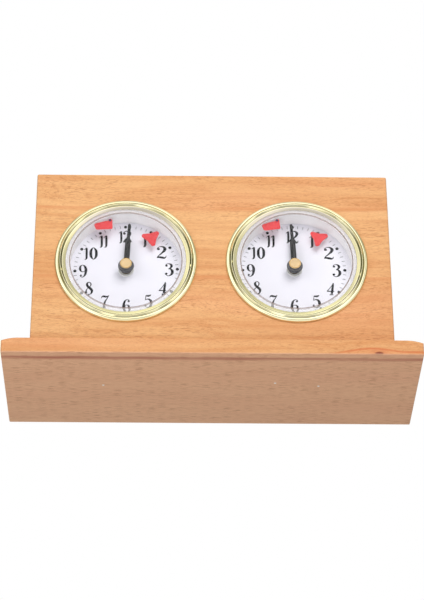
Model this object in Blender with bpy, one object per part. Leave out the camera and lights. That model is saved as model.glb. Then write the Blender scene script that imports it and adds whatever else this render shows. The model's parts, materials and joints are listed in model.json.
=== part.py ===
"""Mechanical chess clock: two spring-driven clocks in one beech case, with a rocker under the top
panel that lets only one of them run.

Frame: metres, +Z up, the clock standing on its base board and the dials facing -Y.
The origin is the centre of the base board's underside. Sizes below are in millimetres, and MM turns
them into metres. A clock's own coordinates (x, z) are measured from its centre arbor, seen from the
front, with the twelve at +z. Depths along Y are always measured from the case's middle plane.
"""

import math

import bmesh
import bpy
from mathutils import Vector
from mathutils.geometry import tessellate_polygon

MM = 0.001

# ---------------------------------------------------------------- case
BASE_W, BASE_D, BASE_T = 220.0, 78.0, 8.8      # base board
BASE_EDGE_RUN, BASE_EDGE_DROP = 9.0, 1.7       # shallow round-over of its two short top edges
BASE_CHAMFER = 0.5                             # along its two short bottom edges
BODY_W, BODY_D, BODY_TOP = 190.8, 70.0, 114.3  # case above it
FRONT_T, SIDE_T, TOP_T, BACK_T = 12.0, 8.0, 8.0, 8.0
JOINT_GAP = 0.05                               # glue line between two boards
BOARD_EASE = 0.6                               # bevel on the edges of the side panels
FRONT_Y = -BODY_D / 2                          # plane of the front panel's face
INNER_Y = FRONT_Y + FRONT_T + JOINT_GAP        # just behind the front panel
BACK_PANEL_Y = 14.0                            # front face of the recessed back panel
HALF_W = BODY_W / 2
BOARD_FOOT = BASE_T + JOINT_GAP                # just above the base board
UNDER_TOP = BODY_TOP - TOP_T - JOINT_GAP       # just below the top panel
SETTING_BORE_R, WINDING_BORE_R = 3.4, 4.0      # bores in the back panel

# centres of the panel holes, bezels and dials, (x, z)
BEZEL_AT = {"left": (-46.1, 58.7), "right": (45.15, 59.1)}
# centre arbors, (x, z); the right movement sits a little off its bezel's axis
CLOCK_AT = {"left": (-46.1, 58.7), "right": (44.4, 59.5)}

# ---------------------------------------------------------------- rocker and buttons
ROCKER_Z = 96.6                                # height of the rocker's pivot
ROCKER_REACH = 53.0                            # from the pivot to either end
ROCKER_TOP, ROCKER_BOTTOM = 0.6, -1.2          # of its arms, from the pivot
ROCKER_HUB_R, ROCKER_PIN_R = 3.0, 1.25
ROCKER_HALF_D, ROCKER_PIN_HALF = 3.0, 6.3      # half depths of the bar and of the pin
BRACKET_HALF_W, BRACKET_HALF_D = 5.0, 6.4
BRACKET_T, BRACKET_FOOT = 1.2, 93.6            # strip thickness and height of the legs' ends
BRACKET_BORE_R = 1.35
FINGER_HALF_W, FINGER_FRONT = 1.0, -6.2        # stop fingers
FINGER_CLEARANCE = 0.25
BUTTON_X = 45.65                               # buttons are at x = -BUTTON_X and +BUTTON_X
BUTTON_TRAVEL = 3.5                            # up and down from level
BUTTON_R, BUTTON_STEM_R = 7.0, 3.6
BUTTON_FLANGE_R = 4.9
STEM_BORE_CLEARANCE = 0.25

# ---------------------------------------------------------------- dial and plates
PANEL_HOLE_R = 33.6
BEZEL_R = 38.0
DIAL_Y = -25.3                                 # printed face of the dial
DIAL_R, DIAL_T = 32.8, 0.5
PLATE_T = 1.5
FRONT_PLATE_Y = -20.1                          # front face of the front plate
BACK_PLATE_Y = -2.6                            # front face of the back plate
PLATE_BOX = (-27.0, 25.0, -31.0, 31.0)         # x0, x1, z0, z1
PLATE_CORNER_R = 4.0
PILLARS = ((-24.0, -28.0), (22.0, -28.0), (-24.0, 28.0), (22.0, 28.0))
PILLAR_R = 2.0

# ---------------------------------------------------------------- movement
# teeth: wheel, pinion and module of each mesh
GREAT_T, CENTER_P, GREAT_M = 48, 8, 0.6
CENTER_T, THIRD_P, CENTER_M = 48, 6, 0.45
THIRD_T, FOURTH_P, THIRD_M = 45, 6, 0.4
FOURTH_T, ESCAPE_P, FOURTH_M = 48, 6, 0.38
CANNON_P, MINUTE_T, MINUTE_P, HOUR_T, MOTION_M = 10, 30, 8, 32, 0.4
ESCAPE_T, ESCAPE_R = 15, 5.5
BALANCE_R, BALANCE_RIM = 8.0, 1.3              # outer radius and width of the rim

# arbors of one clock, (x, z); the fourth arbor is worked out from its two meshes
CENTER = (0.0, 0.0)
GREAT = (-9.636, -13.762)                      # 16.8 from the centre
THIRD = (-2.110, 11.965)                       # 12.15 from the centre
ESCAPE = (13.3, 18.5)
PALLET = (6.816, 20.860)                       # 6.9 from the escape arbor
BALANCE = (-2.360, 23.319)                     # 9.5 from the pallet arbor
MINUTE_STUD = (4.0, -6.928)                    # 8.0 from the centre
FLAG_PIN = (-9.2, 27.7)

# front and rear depth of the wheels and pinions
GREAT_WHEEL_Y = (-5.9, -4.7)
CENTER_WHEEL_Y, CENTER_PINION_Y = (-17.9, -17.1), (-6.6, -3.8)
THIRD_WHEEL_Y, THIRD_PINION_Y = (-14.2, -13.5), (-18.3, -16.7)
FOURTH_WHEEL_Y, FOURTH_PINION_Y = (-10.9, -10.2), (-14.8, -12.9)
ESCAPE_WHEEL_Y, ESCAPE_PINION_Y = (-7.8, -7.2), (-11.5, -9.6)
RATCHET_Y = (-7.6, -6.1)
LEVER_Y, PALLET_PIN_END = (-9.2, -8.6), -6.9
ROLLER_Y, BALANCE_RIM_Y = (-7.9, -7.5), (-6.4, -5.1)
CANNON_Y, HOUR_WHEEL_Y = (-22.0, -20.5), (-23.9, -23.1)
MINUTE_WHEEL_Y, MINUTE_PINION_Y = (-21.9, -21.1), (-24.1, -21.9)

# plain arbors: radii, and where their pivots end and their shoulders stand
ARBOR_R, PIVOT_R, PIVOT_HOLE_R = 0.5, 0.35, 0.45
FRONT_PIVOT_END = FRONT_PLATE_Y + 0.3
FRONT_SHOULDER = FRONT_PLATE_Y + PLATE_T + 0.2
BACK_SHOULDER = BACK_PLATE_Y - 0.2
BACK_PIVOT_END = BACK_PLATE_Y + PLATE_T - 0.3

RING = 32                                      # sides of a large turned piece

FINISHES = {
    # name: (base colour, metallic, roughness)
    "beech": ((0.79, 0.50, 0.26), 0.0, 0.45),
    "bezel_gold": ((0.86, 0.72, 0.32), 1.0, 0.15),
    "crystal": ((0.95, 0.95, 0.95), 0.0, 0.03),
    "white_plastic": ((0.82, 0.81, 0.80), 0.0, 0.4),
    "dial_white": ((0.88, 0.87, 0.92), 0.0, 0.5),
    "black_lacquer": ((0.02, 0.02, 0.02), 0.0, 0.35),
    "red_lacquer": ((0.80, 0.10, 0.10), 0.0, 0.45),
    "brass": ((0.78, 0.62, 0.30), 1.0, 0.28),
    "steel": ((0.55, 0.56, 0.58), 1.0, 0.35),
    "blued_steel": ((0.10, 0.14, 0.30), 1.0, 0.35),
}


# ---------------------------------------------------------------- materials and objects
def material(name):
    found = bpy.data.materials.get(name)
    if found:
        return found
    colour, metallic, roughness = FINISHES[name]
    made = bpy.data.materials.new(name)
    made.use_nodes = True
    shader = made.node_tree.nodes["Principled BSDF"]
    shader.inputs["Base Color"].default_value = (*colour, 1.0)
    shader.inputs["Metallic"].default_value = metallic
    shader.inputs["Roughness"].default_value = roughness
    made.diffuse_color = (*colour, 1.0)
    return made


def add_object(name, bm, finish, at=(0.0, 0.0, 0.0), parent=None):
    """Turns a bmesh drawn in mm about the point `at` (mm) into an object with its origin there."""
    bmesh.ops.remove_doubles(bm, verts=bm.verts, dist=1e-4)
    bmesh.ops.recalc_face_normals(bm, faces=bm.faces)
    bmesh.ops.scale(bm, vec=(MM, MM, MM), verts=bm.verts)
    mesh = bpy.data.meshes.new(name)
    bm.to_mesh(mesh)
    bm.free()
    mesh.materials.append(material(finish))
    mesh.shade_smooth()
    mesh.set_sharp_from_angle(angle=math.radians(35))
    obj = bpy.data.objects.new(name, mesh)
    bpy.context.scene.collection.objects.link(obj)
    obj.location = Vector(at) * MM
    if parent is not None:
        obj.parent = parent
        obj.location = Vector(at) * MM - parent.location
    return obj


def add_empty(name, at):
    empty = bpy.data.objects.new(name, None)
    empty.location = Vector(at) * MM
    bpy.context.scene.collection.objects.link(empty)
    return empty


def boolean(obj, other, operation):
    """Joins `other` to obj, or cuts it out, and keeps `other` as a hidden helper."""
    modifier = obj.modifiers.new(other.name, "BOOLEAN")
    modifier.operation = operation
    modifier.solver = "EXACT"
    modifier.object = other
    other.hide_render = True
    other.display_type = "WIRE"


# ---------------------------------------------------------------- outlines, as lists of (x, z)
def polar(radius, angle, at=(0.0, 0.0)):
    return (at[0] + radius * math.cos(angle), at[1] + radius * math.sin(angle))


def arc(radius, degrees, at=(0.0, 0.0)):
    return [polar(radius, math.radians(d), at) for d in degrees]


def circle(radius, sides=8, at=(0.0, 0.0)):
    return [polar(radius, 2 * math.pi * k / sides, at) for k in range(sides)]


def rounded_box(x0, x1, z0, z1, radius, steps):
    """A rectangle with rounded corners, each of `steps` segments."""
    corners = (
        (x1 - radius, z1 - radius, 0),
        (x0 + radius, z1 - radius, 90),
        (x0 + radius, z0 + radius, 180),
        (x1 - radius, z0 + radius, 270),
    )
    points = []
    for x, z, start in corners:
        points += arc(radius, [start + 90.0 * k / steps for k in range(steps + 1)], (x, z))
    return points


def mirrored(points):
    """The points, then their mirror images in x = 0 in reverse order."""
    return points + [(-x, z) for x, z in reversed(points)]


def turned(points, degrees):
    """Turned anticlockwise, seen from the front."""
    angle = math.radians(degrees)
    cos, sin = math.cos(angle), math.sin(angle)
    return [(x * cos - z * sin, x * sin + z * cos) for x, z in points]


def towards(start, end):
    return math.atan2(end[1] - start[1], end[0] - start[0])


def meeting_point(start, start_r, end, end_r):
    """The point start_r from start and end_r from end, on the right going from start to end."""
    distance = math.hypot(end[0] - start[0], end[1] - start[1])
    along = (distance * distance + start_r * start_r - end_r * end_r) / (2 * distance)
    off = math.sqrt(start_r * start_r - along * along)
    ux, uz = (end[0] - start[0]) / distance, (end[1] - start[1]) / distance
    return (start[0] + ux * along + uz * off, start[1] + uz * along - ux * off)


def wheel_outline(teeth, module, own, mate):
    """Pointed clock-wheel teeth, one of them aimed from the arbor `own` at the arbor `mate`."""
    pitch_r = teeth * module / 2
    points = []
    for k in range(teeth):
        angle = towards(own, mate) + 2 * math.pi * k / teeth
        points.append(polar(pitch_r + 1.05 * module, angle))
        points.append(polar(pitch_r - 1.45 * module, angle + math.pi / teeth))
    return points


def pinion_outline(leaves, module, own, mate, dedendum):
    """Pointed pinion leaves, with the gap between two of them aimed from `own` at `mate`."""
    pitch_r = leaves * module / 2
    pitch = 2 * math.pi / leaves
    half_leaf = 0.18 * pitch
    points = []
    for k in range(leaves):
        angle = towards(own, mate) + math.pi / leaves + pitch * k
        points.append(polar(pitch_r, angle - half_leaf))
        points.append(polar(pitch_r + 0.7 * module, angle))
        points.append(polar(pitch_r, angle + half_leaf))
        points.append(polar(pitch_r - dedendum * module, angle + pitch / 2))
    return points


def escape_outline():
    """Club teeth: a sloping tip, a flank and a root."""
    pitch = 2 * math.pi / ESCAPE_T
    # depth below the tip circle, share of the pitch
    tooth = ((0.0, 0.0), (0.25, 0.16), (1.7, 0.30), (1.7, 0.80))
    return [
        polar(ESCAPE_R - depth, 2 * math.pi * k / ESCAPE_T + share * pitch)
        for k in range(ESCAPE_T)
        for depth, share in tooth
    ]


def spiral_strip(inner_r, outer_r, turns, thick, start=0.0, tail=()):
    """A flat spiral ribbon seen along its axis. Each (radius, angle) of the tail carries its
    outer end further."""
    steps = 40
    stations = [
        (inner_r + (outer_r - inner_r) * k / steps, start + 2 * math.pi * turns * k / steps)
        for k in range(steps + 1)
    ]
    stations += tail
    outer = [polar(r + thick / 2, angle) for r, angle in stations]
    inner = [polar(r - thick / 2, angle) for r, angle in stations]
    return outer + inner[::-1]


# ---------------------------------------------------------------- stacks of flat layers
# A layer is (depth0, depth1, islands) with depth0 < depth1; an island is (outer loop, [holes]).
def layer(depth0, depth1, outer, *holes):
    """A layer of one island."""
    return (depth0, depth1, [(outer, list(holes))])


def solids(depth0, depth1, *loops):
    """A layer of separate islands without holes."""
    return (depth0, depth1, [(loop, []) for loop in loops])


# An outline's point (u, v) at a depth, placed for a stack that runs along each axis.
def along_x(u, depth, v):
    return (depth, u, v)


def along_y(u, depth, v):
    return (u, depth, v)


def along_z(u, depth, v):
    return (u, v, depth)


def inside(point, outline):
    x, z = point
    hit = False
    for (x0, z0), (x1, z1) in zip(outline, outline[1:] + outline[:1]):
        if (z0 > z) != (z1 > z) and x < (x1 - x0) * (z - z0) / (z1 - z0) + x0:
            hit = not hit
    return hit


def cap(bm, loops, depth, place):
    """A flat face bounded by the first loop and pierced by the others."""
    flat = [[Vector((x, z, 0.0)) for x, z in loop] for loop in loops]
    verts = [bm.verts.new(place(p.x, depth, p.y)) for loop in flat for p in loop]
    for corners in tessellate_polygon(flat):
        bm.faces.new([verts[k] for k in corners])


def cap_unshared(bm, holes, others, depth, place):
    for hole in holes:
        if hole not in others:
            cap(bm, [hole], depth, place)


def walls(bm, loop, depth0, depth1, place):
    low = [bm.verts.new(place(x, depth0, z)) for x, z in loop]
    high = [bm.verts.new(place(x, depth1, z)) for x, z in loop]
    for k in range(len(loop)):
        n = (k + 1) % len(loop)
        bm.faces.new((low[k], low[n], high[n], high[k]))


def step_face(bm, first, second, depth, place):
    """The flat faces where two layers' islands meet: all that only one of them covers."""
    for own, other in ((first, second), (second, first)):
        for outer, holes in own:
            same = [other_holes for loop, other_holes in other if loop == outer]
            if same:
                # shared outline: only the holes can differ, and one pass covers them
                if own is first:
                    cap_unshared(bm, holes, same[0], depth, place)
                    cap_unshared(bm, same[0], holes, depth, place)
                continue
            if any(inside(outer[0], loop) for loop, _ in other):
                continue
            within = [island for island in other if inside(island[0][0], outer)]
            open_holes = [h for h in holes if not any(inside(h[0], loop) for loop, _ in within)]
            cap(bm, [outer] + open_holes + [loop for loop, _ in within], depth, place)
            for loop, other_holes in within:
                cap_unshared(bm, other_holes, holes, depth, place)
                covered = [h for h in holes if inside(h[0], loop)]
                cap_unshared(bm, covered, other_holes, depth, place)


def stack(layers, place=along_y):
    """A bmesh of layers laid against each other, closed where a layer and the next differ."""
    bm = bmesh.new()
    layers = sorted(layers, key=lambda entry: entry[0])
    for depth0, depth1, islands in layers:
        for outer, holes in islands:
            for loop in [outer] + holes:
                walls(bm, loop, depth0, depth1, place)
    step_face(bm, [], layers[0][2], layers[0][0], place)
    for low, high in zip(layers, layers[1:]):
        step_face(bm, low[2], high[2], high[0], place)
    step_face(bm, layers[-1][2], [], layers[-1][1], place)
    return bm


# ---------------------------------------------------------------- other solids
def revolve(profile, sides=RING, upright=False):
    """Spins a closed (radius, height) profile about the Y axis, or about Z with upright."""
    bm = bmesh.new()
    rings = []
    for radius, height in profile:
        if radius == 0:
            vert = bm.verts.new((0, 0, height) if upright else (0, height, 0))
            rings.append([vert] * sides)
            continue
        ring = []
        for u, v in circle(radius, sides):
            ring.append(bm.verts.new((u, v, height) if upright else (u, height, v)))
        rings.append(ring)
    for ring, following in zip(rings, rings[1:] + rings[:1]):
        for k in range(sides):
            n = (k + 1) % sides
            corners = []
            for vert in (ring[k], ring[n], following[n], following[k]):
                if vert not in corners:
                    corners.append(vert)
            if len(corners) > 2:
                bm.faces.new(corners)
    return bm


def box(*spans):
    """A block from its (low, high) spans in x, y and z."""
    bm = bmesh.new()
    for vert in bmesh.ops.create_cube(bm, size=1.0)["verts"]:
        vert.co = [(low + high) / 2 + c * (high - low) for c, (low, high) in zip(vert.co, spans)]
    return bm


def add_board(name, *spans):
    """A plain board with its edges eased by a Bevel modifier."""
    middle = [(low + high) / 2 for low, high in spans]
    bm = box(*[(low - mid, high - mid) for (low, high), mid in zip(spans, middle)])
    bevel = add_object(name, bm, "beech", middle).modifiers.new("eased_edges", "BEVEL")
    bevel.width = BOARD_EASE * MM
    bevel.segments = 1


# ---------------------------------------------------------------- case
def add_base_board():
    """Its section in XZ, drawn out along Y."""
    right = [(BASE_W / 2 - BASE_CHAMFER, 0.0), (BASE_W / 2, BASE_CHAMFER)]
    for k in range(6):
        t = k / 5
        right.append((BASE_W / 2 - BASE_EDGE_RUN * t, BASE_T - BASE_EDGE_DROP * (1 - t) ** 2))
    section = mirrored(right)
    add_object("base_board", stack([layer(-BASE_D / 2, BASE_D / 2, section)]), "beech")


def add_front_panel():
    """Pierced for the two clocks."""
    panel = rounded_box(-HALF_W, HALF_W, BOARD_FOOT, BODY_TOP, 1.2, 2)
    holes = [circle(PANEL_HOLE_R, RING, at) for at in BEZEL_AT.values()]
    add_object("front_panel", stack([layer(FRONT_Y, FRONT_Y + FRONT_T, panel, *holes)]), "beech")


def add_side_panels():
    y_span, z_span = (INNER_Y, BODY_D / 2), (BOARD_FOOT, UNDER_TOP)
    add_board("side_panel_left", (-HALF_W, -HALF_W + SIDE_T), y_span, z_span)
    add_board("side_panel_right", (HALF_W - SIDE_T, HALF_W), y_span, z_span)


def add_top_panel():
    """Bored for the two button stems."""
    panel = rounded_box(-HALF_W, HALF_W, INNER_Y, BODY_D / 2, 0.8, 2)
    bore_r = BUTTON_STEM_R + STEM_BORE_CLEARANCE
    bores = [circle(bore_r, 16, (x, 0.0)) for x in (-BUTTON_X, BUTTON_X)]
    bm = stack([layer(BODY_TOP - TOP_T, BODY_TOP, panel, *bores)], along_z)
    add_object("top_panel", bm, "beech")


def add_back_panel():
    """Let in between the sides, well ahead of their rear edges; bored for the winding and
    setting arbors."""
    half = HALF_W - SIDE_T - JOINT_GAP
    panel = rounded_box(-half, half, BOARD_FOOT, UNDER_TOP, 0.3, 1)
    bores = []
    for x, z in CLOCK_AT.values():
        bores.append(circle(SETTING_BORE_R, 12, (x + CENTER[0], z + CENTER[1])))
        bores.append(circle(WINDING_BORE_R, 12, (x + GREAT[0], z + GREAT[1])))
    bm = stack([layer(BACK_PANEL_Y, BACK_PANEL_Y + BACK_T, panel, *bores)])
    add_object("back_panel", bm, "beech")


# ---------------------------------------------------------------- rocker, bracket and buttons
def add_rocker_bracket():
    """A U-strip under the top panel, open downwards: its section in YZ, drawn out along X."""
    leg_inner = BRACKET_HALF_D - BRACKET_T
    section = [
        (-BRACKET_HALF_D, UNDER_TOP), (BRACKET_HALF_D, UNDER_TOP),
        (BRACKET_HALF_D, BRACKET_FOOT), (leg_inner, BRACKET_FOOT),
        (leg_inner, UNDER_TOP - BRACKET_T), (-leg_inner, UNDER_TOP - BRACKET_T),
        (-leg_inner, BRACKET_FOOT), (-BRACKET_HALF_D, BRACKET_FOOT),
    ]
    bm = stack([layer(-BRACKET_HALF_W, BRACKET_HALF_W, section)], along_x)
    bracket = add_object("rocker_bracket", bm, "steel")
    bm = stack([layer(-9.0, 9.0, circle(BRACKET_BORE_R, 12))])
    drill = add_object("rocker_bracket_drill", bm, "steel", (0, 0, ROCKER_Z))
    boolean(bracket, drill, "DIFFERENCE")


def add_rocker():
    """A flat bar with a hub, a pivot pin through it, and a bent stop finger for each balance."""
    pivot_at = (0.0, 0.0, ROCKER_Z)
    axis = add_empty("rocker_axis", pivot_at)
    bar = [(ROCKER_REACH, ROCKER_BOTTOM), (ROCKER_REACH, ROCKER_TOP)]
    bar += arc(ROCKER_HUB_R, (12, 50, 90, 130, 168))
    bar += [(-ROCKER_REACH, ROCKER_TOP), (-ROCKER_REACH, ROCKER_BOTTOM)]
    bar += arc(ROCKER_HUB_R, (204, 240, 270, 300, 336))
    pin = circle(ROCKER_PIN_R, 12)
    rocker = add_object("rocker_beam", stack([
        layer(-ROCKER_PIN_HALF, -ROCKER_HALF_D, pin),
        layer(-ROCKER_HALF_D, ROCKER_HALF_D, bar),
        layer(ROCKER_HALF_D, ROCKER_PIN_HALF, pin),
    ]), "steel", pivot_at, axis)

    for side, (clock_x, clock_z) in CLOCK_AT.items():
        x = clock_x + BALANCE[0]
        rim_top = clock_z + BALANCE[1] + BALANCE_R
        # how far the finger comes down when its button goes down
        drop = abs(x) * math.tan(BUTTON_TRAVEL / BUTTON_X) + FINGER_CLEARANCE
        toe_z = rim_top + drop - ROCKER_Z
        x_span = (x - FINGER_HALF_W, x + FINGER_HALF_W)
        parts = {
            "arm": box(x_span, (FINGER_FRONT, -2.0), (-1.0, 0.2)),
            "toe": box(x_span, (FINGER_FRONT, -5.3), (toe_z, 0.1)),
        }
        for part, bm in parts.items():
            finger = add_object(f"stop_finger_{part}_{side}", bm, "steel", pivot_at, axis)
            boolean(rocker, finger, "UNION")


def add_buttons():
    """Turned plungers that stand just above the rocker's arms."""
    foot = ROCKER_Z + ROCKER_TOP + 0.15
    profile = [
        # radius, z
        (0.0, foot),
        (0.9, foot),
        (2.6, foot + 2.0),
        (BUTTON_FLANGE_R, foot + 2.2),
        (BUTTON_FLANGE_R, foot + 3.6),
        (BUTTON_STEM_R, foot + 3.8),
        (BUTTON_STEM_R, BODY_TOP + 3.9),
        (BUTTON_R - 0.5, BODY_TOP + 3.9),
        (BUTTON_R, BODY_TOP + 4.4),
        (BUTTON_R, BODY_TOP + 8.0),
        (BUTTON_R - 0.4, BODY_TOP + 8.9),
        (BUTTON_R - 1.6, BODY_TOP + 9.5),
        (0.0, BODY_TOP + 9.8),
    ]
    for side, x in (("left", -BUTTON_X), ("right", BUTTON_X)):
        bm = revolve(profile, 16, upright=True)
        add_object(f"button_{side}", bm, "brass", (x, 0.0, 0.0))


# ---------------------------------------------------------------- one clock: parts shared
FOURTH = meeting_point(
    THIRD, (THIRD_T + FOURTH_P) * THIRD_M / 2, ESCAPE, (FOURTH_T + ESCAPE_P) * FOURTH_M / 2
)
ROD, PIVOT = circle(ARBOR_R, 6), circle(PIVOT_R, 6)


class Clock:
    """The parent empty of one clock, and the way pieces are put on its arbors."""

    def __init__(self, side):
        self.side = side
        self.x, self.z = CLOCK_AT[side]
        # the bezel's axis, seen from the centre arbor
        self.bezel_axis = (BEZEL_AT[side][0] - self.x, BEZEL_AT[side][1] - self.z)
        self.root = add_empty(f"clock_{side}", (self.x, 0.0, self.z))

    def put(self, name, bm, finish, at=CENTER):
        place = (self.x + at[0], 0.0, self.z + at[1])
        return add_object(f"{name}_{self.side}", bm, finish, place, self.root)


def arbor(gap_front, gap_back):
    """Layers of a plain arbor from plate to plate, but for a gap left for what it carries."""
    return [
        layer(FRONT_PIVOT_END, FRONT_SHOULDER, PIVOT),
        layer(FRONT_SHOULDER, gap_front, ROD),
        layer(gap_back, BACK_SHOULDER, ROD),
        layer(BACK_SHOULDER, BACK_PIVOT_END, PIVOT),
    ]


def wheel_and_pinion(wheel, wheel_y, pinion, pinion_y):
    """Layers of an arbor that carries a pinion in front of its wheel."""
    return arbor(pinion_y[0], wheel_y[1]) + [
        layer(*pinion_y, pinion),
        layer(pinion_y[1], wheel_y[0], ROD),
        layer(*wheel_y, wheel),
    ]


# ---------------------------------------------------------------- one clock: dial and its cover
def add_bezel(clock):
    """Rolled ring, with a skirt into the front panel's hole whose rear lip holds the dial."""
    clock.put("bezel", revolve([
        # radius, y
        (BEZEL_R, FRONT_Y - 0.05), (BEZEL_R, FRONT_Y - 1.2), (36.9, FRONT_Y - 1.75),
        (35.3, FRONT_Y - 2.25), (34.5, FRONT_Y - 2.2), (32.6, FRONT_Y - 1.05),
        (32.6, FRONT_Y - 0.7), (32.95, FRONT_Y - 0.7), (32.95, DIAL_Y + 0.55),
        (31.6, DIAL_Y + 0.55), (31.6, DIAL_Y + 0.95), (33.3, DIAL_Y + 0.95),
        (33.3, FRONT_Y - 0.05),
    ]), "bezel_gold", clock.bezel_axis)


def add_crystal(clock):
    """Nearly flat lens with a sloped shoulder."""
    clock.put("crystal", revolve([
        # radius, y
        (0.0, FRONT_Y - 1.75), (30.1, FRONT_Y - 1.5), (32.4, FRONT_Y - 0.6),
        (32.85, FRONT_Y - 0.6), (32.85, FRONT_Y + 0.2), (31.4, FRONT_Y + 0.2),
        (29.7, FRONT_Y - 0.35), (0.0, FRONT_Y - 0.6),
    ]), "crystal", clock.bezel_axis)


def add_dial_surround(clock):
    """The flared white ring between dial and crystal."""
    clock.put("dial_surround", revolve([
        # radius, y
        (32.5, FRONT_Y + 0.25), (32.85, FRONT_Y + 0.25),
        (32.85, DIAL_Y - 0.05), (30.3, DIAL_Y - 0.05),
    ]), "white_plastic", clock.bezel_axis)


def add_dial(clock):
    """A disc with a raised centre bush and the flag's pin."""
    disc, bush = circle(DIAL_R, RING, clock.bezel_axis), circle(3.9, 12)
    hole, star_hole = circle(2.9, 12), circle(1.1, 8, ESCAPE)
    flag_pin = circle(0.35, 6, FLAG_PIN)
    bush_front = DIAL_Y - 0.7
    clock.put("dial", stack([
        layer(DIAL_Y, DIAL_Y + DIAL_T, disc, hole, star_hole),
        (bush_front, DIAL_Y, [(bush, [hole]), (flag_pin, [])]),
        layer(DIAL_Y - 6.7, bush_front, flag_pin),
    ]), "dial_white")


# ---------------------------------------------------------------- one clock: plates
def add_plates(clock):
    """The front plate has four posts against the front panel and the minute wheel's stud; the
    back plate carries the pillars."""
    plate = rounded_box(*PLATE_BOX, PLATE_CORNER_R, 2)
    pivot_holes = [circle(PIVOT_HOLE_R, 6, at) for at in (THIRD, FOURTH, PALLET, BALANCE)]
    center_hole = circle(1.35)
    pillars = [circle(PILLAR_R, 6, at) for at in PILLARS]
    stud = circle(0.7, 8, MINUTE_STUD)
    front_holes = pivot_holes + [center_hole, circle(0.95, 8, GREAT), circle(0.75, 8, ESCAPE)]
    clock.put("front_plate", stack([
        layer(FRONT_PLATE_Y, FRONT_PLATE_Y + PLATE_T, plate, *front_holes),
        solids(INNER_Y, FRONT_PLATE_Y, *pillars, stud),
        layer(FRONT_PLATE_Y - 4.2, INNER_Y, stud),
    ]), "brass")
    escape_hole = circle(PIVOT_HOLE_R, 6, ESCAPE)
    back_holes = pivot_holes + [escape_hole, center_hole, circle(1.7, 8, GREAT)]
    clock.put("back_plate", stack([
        layer(BACK_PLATE_Y, BACK_PLATE_Y + PLATE_T, plate, *back_holes),
        solids(FRONT_PLATE_Y + PLATE_T + 0.05, BACK_PLATE_Y, *pillars),
    ]), "brass")


# ---------------------------------------------------------------- one clock: winding
def add_great_wheel(clock):
    """The wheel, with its click on the front."""
    click = [(4.9, -0.9), (9.2, -0.9), (9.2, 0.9), (7.2, 0.9), (4.9, -0.3)]
    clock.put("great_wheel", stack([
        layer(*GREAT_WHEEL_Y, wheel_outline(GREAT_T, GREAT_M, GREAT, CENTER), circle(1.65)),
        layer(-7.4, GREAT_WHEEL_Y[0], click),
    ]), "brass", GREAT)


def add_winding_arbor(clock):
    """Front pivot, spring hub, twelve-tooth ratchet and the shaft out to the key."""
    ratchet = []
    for k in range(12):
        ratchet += arc(4.6, [30 * k]) + arc(3.7, [30 * k + 4.0])
    clock.put("winding_arbor", stack([
        layer(FRONT_PLATE_Y + 0.2, FRONT_SHOULDER, circle(0.85)),
        layer(FRONT_SHOULDER, RATCHET_Y[0], circle(2.0)),
        layer(*RATCHET_Y, ratchet),
        layer(RATCHET_Y[1], 27.0, circle(1.5)),
    ]), "steel", GREAT)


def add_mainspring(clock):
    """A spiral whose tail reaches out to the first pillar."""
    turns = 3.4
    hook = towards(GREAT, PILLARS[0])
    reach = math.dist(GREAT, PILLARS[0]) - PILLAR_R - 0.45
    tail = (
        (13.6, hook - math.radians(24)),
        (15.2, hook - math.radians(11)),
        (reach, hook),
    )
    start = hook - math.radians(34 + turns * 360)
    ribbon = spiral_strip(2.45, 13.2, turns, 0.5, start, tail)
    clock.put("mainspring", stack([layer(-16.6, -8.6, ribbon)]), "blued_steel", GREAT)


def add_winding_key(clock):
    """A bored hub joined to a flat two-winged grip, then bored again through the grip's root."""
    bore = circle(1.6, 12)
    hub = clock.put("winding_key", stack([layer(22.7, 29.0, circle(3.1, 12), bore)]), "brass", GREAT)
    # the grip's outline in (x, y)
    grip = mirrored([
        (-3.4, 26.4), (-8.8, 25.4), (-11.2, 27.6), (-11.0, 31.4),
        (-8.6, 34.0), (-5.0, 33.2), (-2.0, 30.2),
    ])
    wing = clock.put("winding_key_wing", stack([layer(-0.7, 0.7, grip)], along_z), "brass", GREAT)
    slot = clock.put("winding_key_slot", stack([layer(22.0, 27.4, bore)]), "brass", GREAT)
    boolean(hub, wing, "UNION")
    boolean(hub, slot, "DIFFERENCE")


# ---------------------------------------------------------------- one clock: going train
def add_going_train(clock):
    """The centre wheel on its sleeve, and the third and fourth wheels on plain arbors."""
    bore = circle(1.05)
    pinion = pinion_outline(CENTER_P, GREAT_M, CENTER, GREAT, 1.35)
    clock.put("center_wheel", stack([
        layer(*CENTER_WHEEL_Y, wheel_outline(CENTER_T, CENTER_M, CENTER, THIRD), bore),
        layer(CENTER_WHEEL_Y[1], CENTER_PINION_Y[0], circle(1.45), bore),
        layer(*CENTER_PINION_Y, pinion, bore),
    ]), "brass")
    clock.put("third_wheel", stack(wheel_and_pinion(
        wheel_outline(THIRD_T, THIRD_M, THIRD, FOURTH), THIRD_WHEEL_Y,
        pinion_outline(THIRD_P, CENTER_M, THIRD, CENTER, 1.2), THIRD_PINION_Y,
    )), "brass", THIRD)
    clock.put("fourth_wheel", stack(wheel_and_pinion(
        wheel_outline(FOURTH_T, FOURTH_M, FOURTH, ESCAPE), FOURTH_WHEEL_Y,
        pinion_outline(FOURTH_P, THIRD_M, FOURTH, THIRD, 1.1), FOURTH_PINION_Y,
    )), "brass", FOURTH)


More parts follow.
